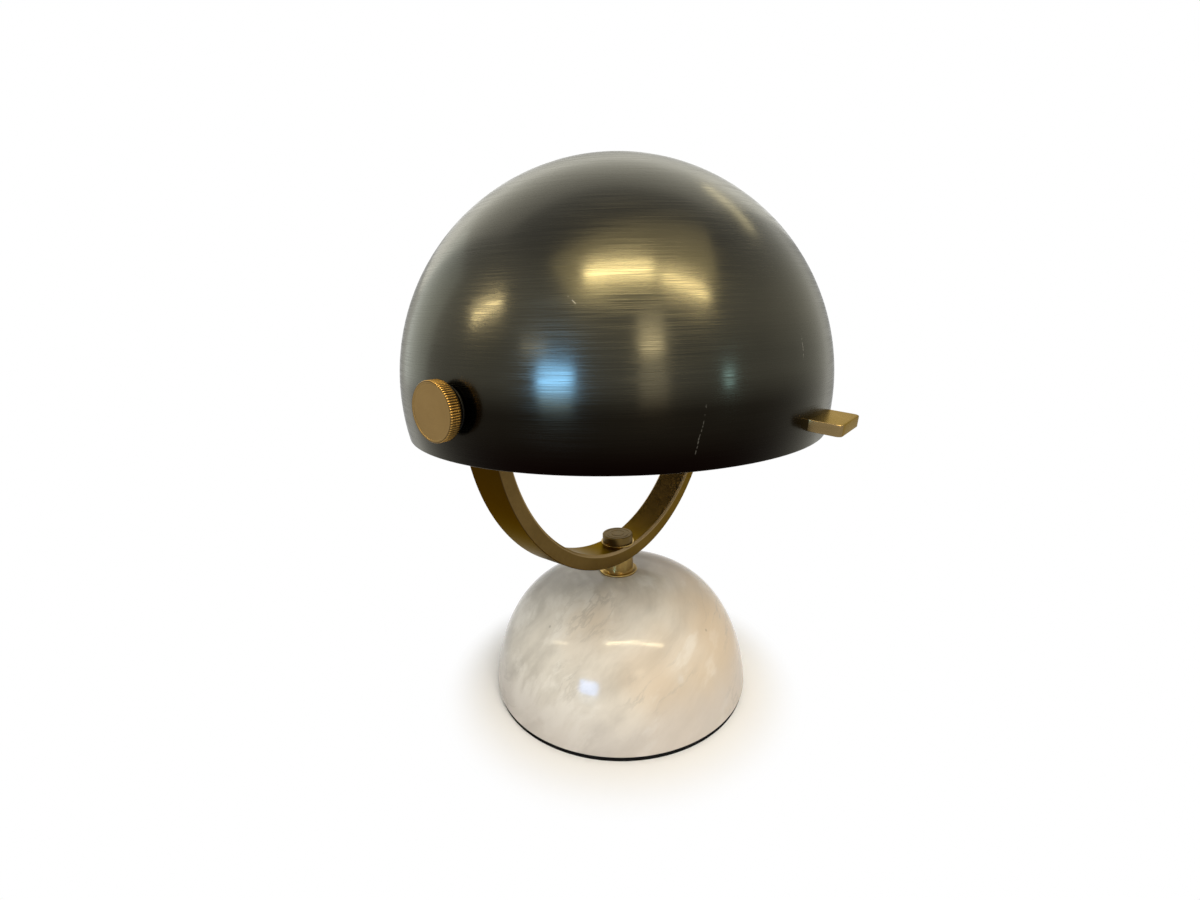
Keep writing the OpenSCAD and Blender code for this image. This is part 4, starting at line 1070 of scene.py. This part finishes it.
def build_bulb():
    """Opal glass of even thickness, with its foot set in the screw cap."""
    neck, ball, inner_ball = bulb_profile()
    lip = LAMP_CAP_R - THREAD_DEPTH - 0.9 * MM
    low, high = LAMP_CAP_HIGH - 4 * MM, LAMP_CAP_HIGH + 0.05 * MM
    foot = np.array([[lip, low], [lip, high]])
    inner_foot = np.array([[lip - GLASS_T, high], [lip - GLASS_T, low]])
    inner_neck = (neck - [GLASS_T, 0])[::-1]
    walls = (foot, neck, ball), (inner_ball, inner_neck, inner_foot, foot[:1])
    parts = [drum(lifted(turned(np.vstack(wall)), LAMP_Z)) for wall in walls]
    piece("bulb_envelope", parts, [OPAL], "bulb_glass", sharp=50.0)


# ---- nodes kept as imported

KEPT = (
    (ZINC, "plate_screws base_washer base_nut holder_bar bar_screws holder_nut yoke_block tab_screws "
           "stud_left stud_right"),
    (RAW_BRASS, "threaded_rod holder_nipple holder_contact holder_screw_shell"),
    (FIBRE, "friction_washer_left friction_washer_right"),
    (BLACK_STEEL, "base_plate"),
    (PAD_FOAM, "wire_grommet"),
    (PORCELAIN, "holder_core"),
    (CAP_GLASS, "bulb_insulator"),
    (NICKEL, "bulb_contact"),
)


def dress_kept_nodes():
    """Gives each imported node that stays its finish."""
    for finish, names in KEPT:
        for name in names.split():
            mesh = frame["nodes"][name].data
            mesh.materials.clear()
            mesh.materials.append(finish)


# ---- studio

CAMERA_AZIMUTH = -52.03
CAMERA_ELEVATION = 14.51
CAMERA_ROLL = -1.47
CAMERA_DISTANCE = 0.39756
CAMERA_TARGET = (-0.01143, 0.17927)
CAMERA_NEAR = 0.02
FOCAL_PIXELS = 557.07
PICTURE_WIDTH = 1200
SENSOR = 36.0

WORLD_GLOW = (1, 0.995, 0.91)
WORLD_STRENGTH = 0.44
FLOOR_TONE = (0.91, 0.91, 0.93)
FLOOR_RINGS = (0.0, 0.2, 0.8, 3.0, 12.0)
# distances from the lamp's axis between which the floor goes over to white
SHADOW_NEAR = 0.092
SHADOW_FAR = 0.138

LAMPS = (
    # name, azimuth, elevation, distance, width, height, roll, radiance, colour, seen in gloss, lights matt
    ("ceiling_warm", -139.0, 57.5, 2.2, 1.10, 0.19, 0.0, 66.0, (1.0, 0.85, 0.50), True, False),
    ("ceiling_side", -98.5, 45.5, 2.2, 0.80, 0.15, -40.0, 54.0, (1.0, 0.84, 0.50), True, False),
    ("ceiling_low", -126.0, 22.0, 2.2, 0.38, 0.22, 0.0, 15.0, (1.0, 0.86, 0.60), True, False),
    ("ceiling_haze", -125.0, 27.0, 2.2, 0.44, 0.66, 0.0, 3.6, (1.0, 0.88, 0.64), True, False),
    ("corner_low", 177.0, 20.5, 2.2, 0.46, 0.15, 0.0, 5.5, (1.0, 0.95, 0.84), True, False),
    ("ceiling_glow", -122.0, 65.0, 2.4, 3.00, 1.25, 0.0, 2.6, (1.0, 0.84, 0.45), True, False),
    ("low_band", -126.0, -6.0, 2.4, 0.55, 1.60, 0.0, 2.4, (1.0, 0.90, 0.72), True, False),
    ("corner_left", 144.0, 31.0, 2.2, 0.60, 0.09, 40.0, 52.0, (1.0, 0.85, 0.55), True, False),
    ("corner_right", -12.0, 44.0, 2.2, 0.76, 0.18, 22.0, 4.2, (1.0, 0.88, 0.58), True, True),
    ("window", -171.0, 7.0, 2.0, 0.58, 0.38, 0.0, 56.0, (0.17, 0.44, 0.96), True, False),
    ("window_low", -171.0, -2.5, 2.0, 0.52, 0.30, 0.0, 9.0, (0.60, 0.85, 1.0), True, False),
    ("small_window", -90.0, 4.5, 2.2, 0.17, 0.27, 0.0, 13.0, (0.45, 0.80, 1.0), True, True),
    ("left_wall", 97.0, 14.0, 3.0, 1.60, 2.40, 0.0, 0.62, (0.80, 0.93, 1.0), True, False),
    ("back_wall", 44.0, 44.0, 3.0, 4.60, 3.40, 0.0, 0.95, (1.0, 0.99, 0.96), True, False),
    ("soft_key", -126.0, 50.0, 2.3, 1.50, 0.90, 0.0, 8.6, (1.0, 0.91, 0.76), False, True),
    ("soft_fill", -128.0, 31.0, 2.4, 1.60, 0.50, 0.0, 2.7, (1.0, 0.94, 0.85), False, True),
)
COLD_LAMPS = ("window", "window_low", "small_window")
SPARED = (TAB_BRASS, KNOB_BRASS, POST_BRASS, CAP_BRASS, SHADED_YOKE_BRASS)


def build_camera():
    """Camera at the photograph's place: it looks at a point beside the lamp's axis, with a slight roll."""
    right, back = direction(CAMERA_AZIMUTH, 0), direction(CAMERA_AZIMUTH - 90, CAMERA_ELEVATION)
    across, rise = CAMERA_TARGET
    spot = Vector((0, 0, rise)) + right * across + back * CAMERA_DISTANCE
    aim = Matrix((right, back.cross(right), back)).transposed()
    turn = aim @ Matrix.Rotation(radians(CAMERA_ROLL), 3, "Z")
    data = bpy.data.cameras.new("camera")
    data.sensor_width = SENSOR
    data.lens = FOCAL_PIXELS * SENSOR / PICTURE_WIDTH
    data.clip_start = CAMERA_NEAR
    camera = placed("camera", data)
    camera.matrix_world = Matrix.Translation(spot) @ turn.to_4x4()
    bpy.context.scene.camera = camera


def emptied(owner):
    """The node tree of a material or world, with nothing in it."""
    owner.use_nodes = True
    owner.node_tree.nodes.clear()
    return owner.node_tree


def backdrop_rays(tree):
    """1 for rays that look at the backdrop: from the camera, or off gloss and through glass."""
    camera = node(tree, "LightPath", {}, "Is Camera Ray")
    gloss = node(tree, "LightPath", {}, "Is Glossy Ray")
    glass = node(tree, "LightPath", {}, "Is Transmission Ray")
    return camera.calc("MAXIMUM", gloss).calc("MAXIMUM", glass)


def build_world():
    """Even white surroundings to look at, and a softer grey-white to light the lamp."""
    world = bpy.data.worlds.new("studio")
    tree = emptied(world)
    seen = node(tree, "Background", {"Color": (1, 1, 1), "Strength": 1.0})
    glow = node(tree, "Background", {"Color": WORLD_GLOW, "Strength": WORLD_STRENGTH})
    both = node(tree, "MixShader", {0: backdrop_rays(tree), 1: glow, 2: seen})
    fill(tree.nodes.new("ShaderNodeOutputWorld").inputs["Surface"], both)
    bpy.context.scene.world = world


def floor_finish():
    """Pale floor that keeps the lamp's shadow near it and goes over to white further out."""
    material = bpy.data.materials.new("floor")
    tree = emptied(material)
    away = node(tree, "TexCoord", {}, "Object").length()
    lit = node(tree, "BsdfDiffuse", {"Color": FLOOR_TONE})
    white = node(tree, "Emission", {"Color": (1, 1, 1), "Strength": 1.0})
    far = away.eased(SHADOW_NEAR, SHADOW_FAR) * backdrop_rays(tree)
    both = node(tree, "MixShader", {0: far, 1: lit, 2: white})
    fill(tree.nodes.new("ShaderNodeOutputMaterial").inputs["Surface"], both)
    return material


def build_floor():
    """Flat round floor under the pad."""
    turn = round_turn(96)
    rings = np.array(FLOOR_RINGS)[:, None]
    points, faces, _ = drum(grid_of(rings * np.cos(turn), rings * np.sin(turn), 0.0))
    mesh = bpy.data.meshes.new("floor")
    mesh.from_pydata(points.tolist(), [], faces.tolist())
    mesh.materials.append(floor_finish())
    placed("floor", mesh)


def build_lamp(name, azimuth, elevation, distance, width, height, roll, radiance, colour, gloss, matt):
    """Rectangular studio lamp, placed by its direction from the dome's centre and aimed at it."""
    data = bpy.data.lights.new(name, "AREA")
    data.shape = "RECTANGLE"
    data.size, data.size_y = width, height
    data.energy, data.color = radiance * pi * width * height, colour
    lamp = placed(name, data)
    lamp.visible_glossy, lamp.visible_diffuse = gloss, matt
    away = direction(azimuth, elevation)
    lamp.location = Vector((0, 0, DOME_Z)) + away * distance
    aim = (-away).to_track_quat("-Z", "Y").to_matrix() @ Matrix.Rotation(radians(roll), 3, "Z")
    lamp.rotation_euler = aim.to_euler()


def keep_off(lamp, finishes):
    """Leaves the pieces of the given finishes out of a lamp's light: the cold windows show on the dark
    dome and on the stone, and would turn the brass green."""
    spared = bpy.data.collections.new(lamp.name + "_spares")
    for obj in bpy.data.objects:
        if obj.type == "MESH" and obj.active_material in finishes:
            spared.objects.link(obj)
    lamp.light_linking.receiver_collection = spared
    for entry in spared.collection_objects:
        entry.light_linking.link_state = "EXCLUDE"


def build_studio():
    """Camera, surroundings, floor and lamps."""
    bpy.context.scene.view_settings.view_transform = "Standard"
    build_camera()
    build_world()
    build_floor()
    for lamp in LAMPS:
        build_lamp(*lamp)
    for name in COLD_LAMPS:
        keep_off(bpy.data.objects[name], SPARED)


# ---- the lamp

build_shade()
build_tab()
for hand, side in (("left", -1), ("right", 1)):
    build_knob(hand, side)
    build_knob_washer(hand, side)
    build_arm_head(hand, side)
    build_pivot_bush(hand, side)
build_stone()
build_pad()
build_inlet_bush()
build_collar()
build_saddle_washer()
build_cap()
build_yoke()
build_holder_cup()
build_holder_sleeve()
build_bulb_cap()
build_bulb()
dress_kept_nodes()
build_studio()
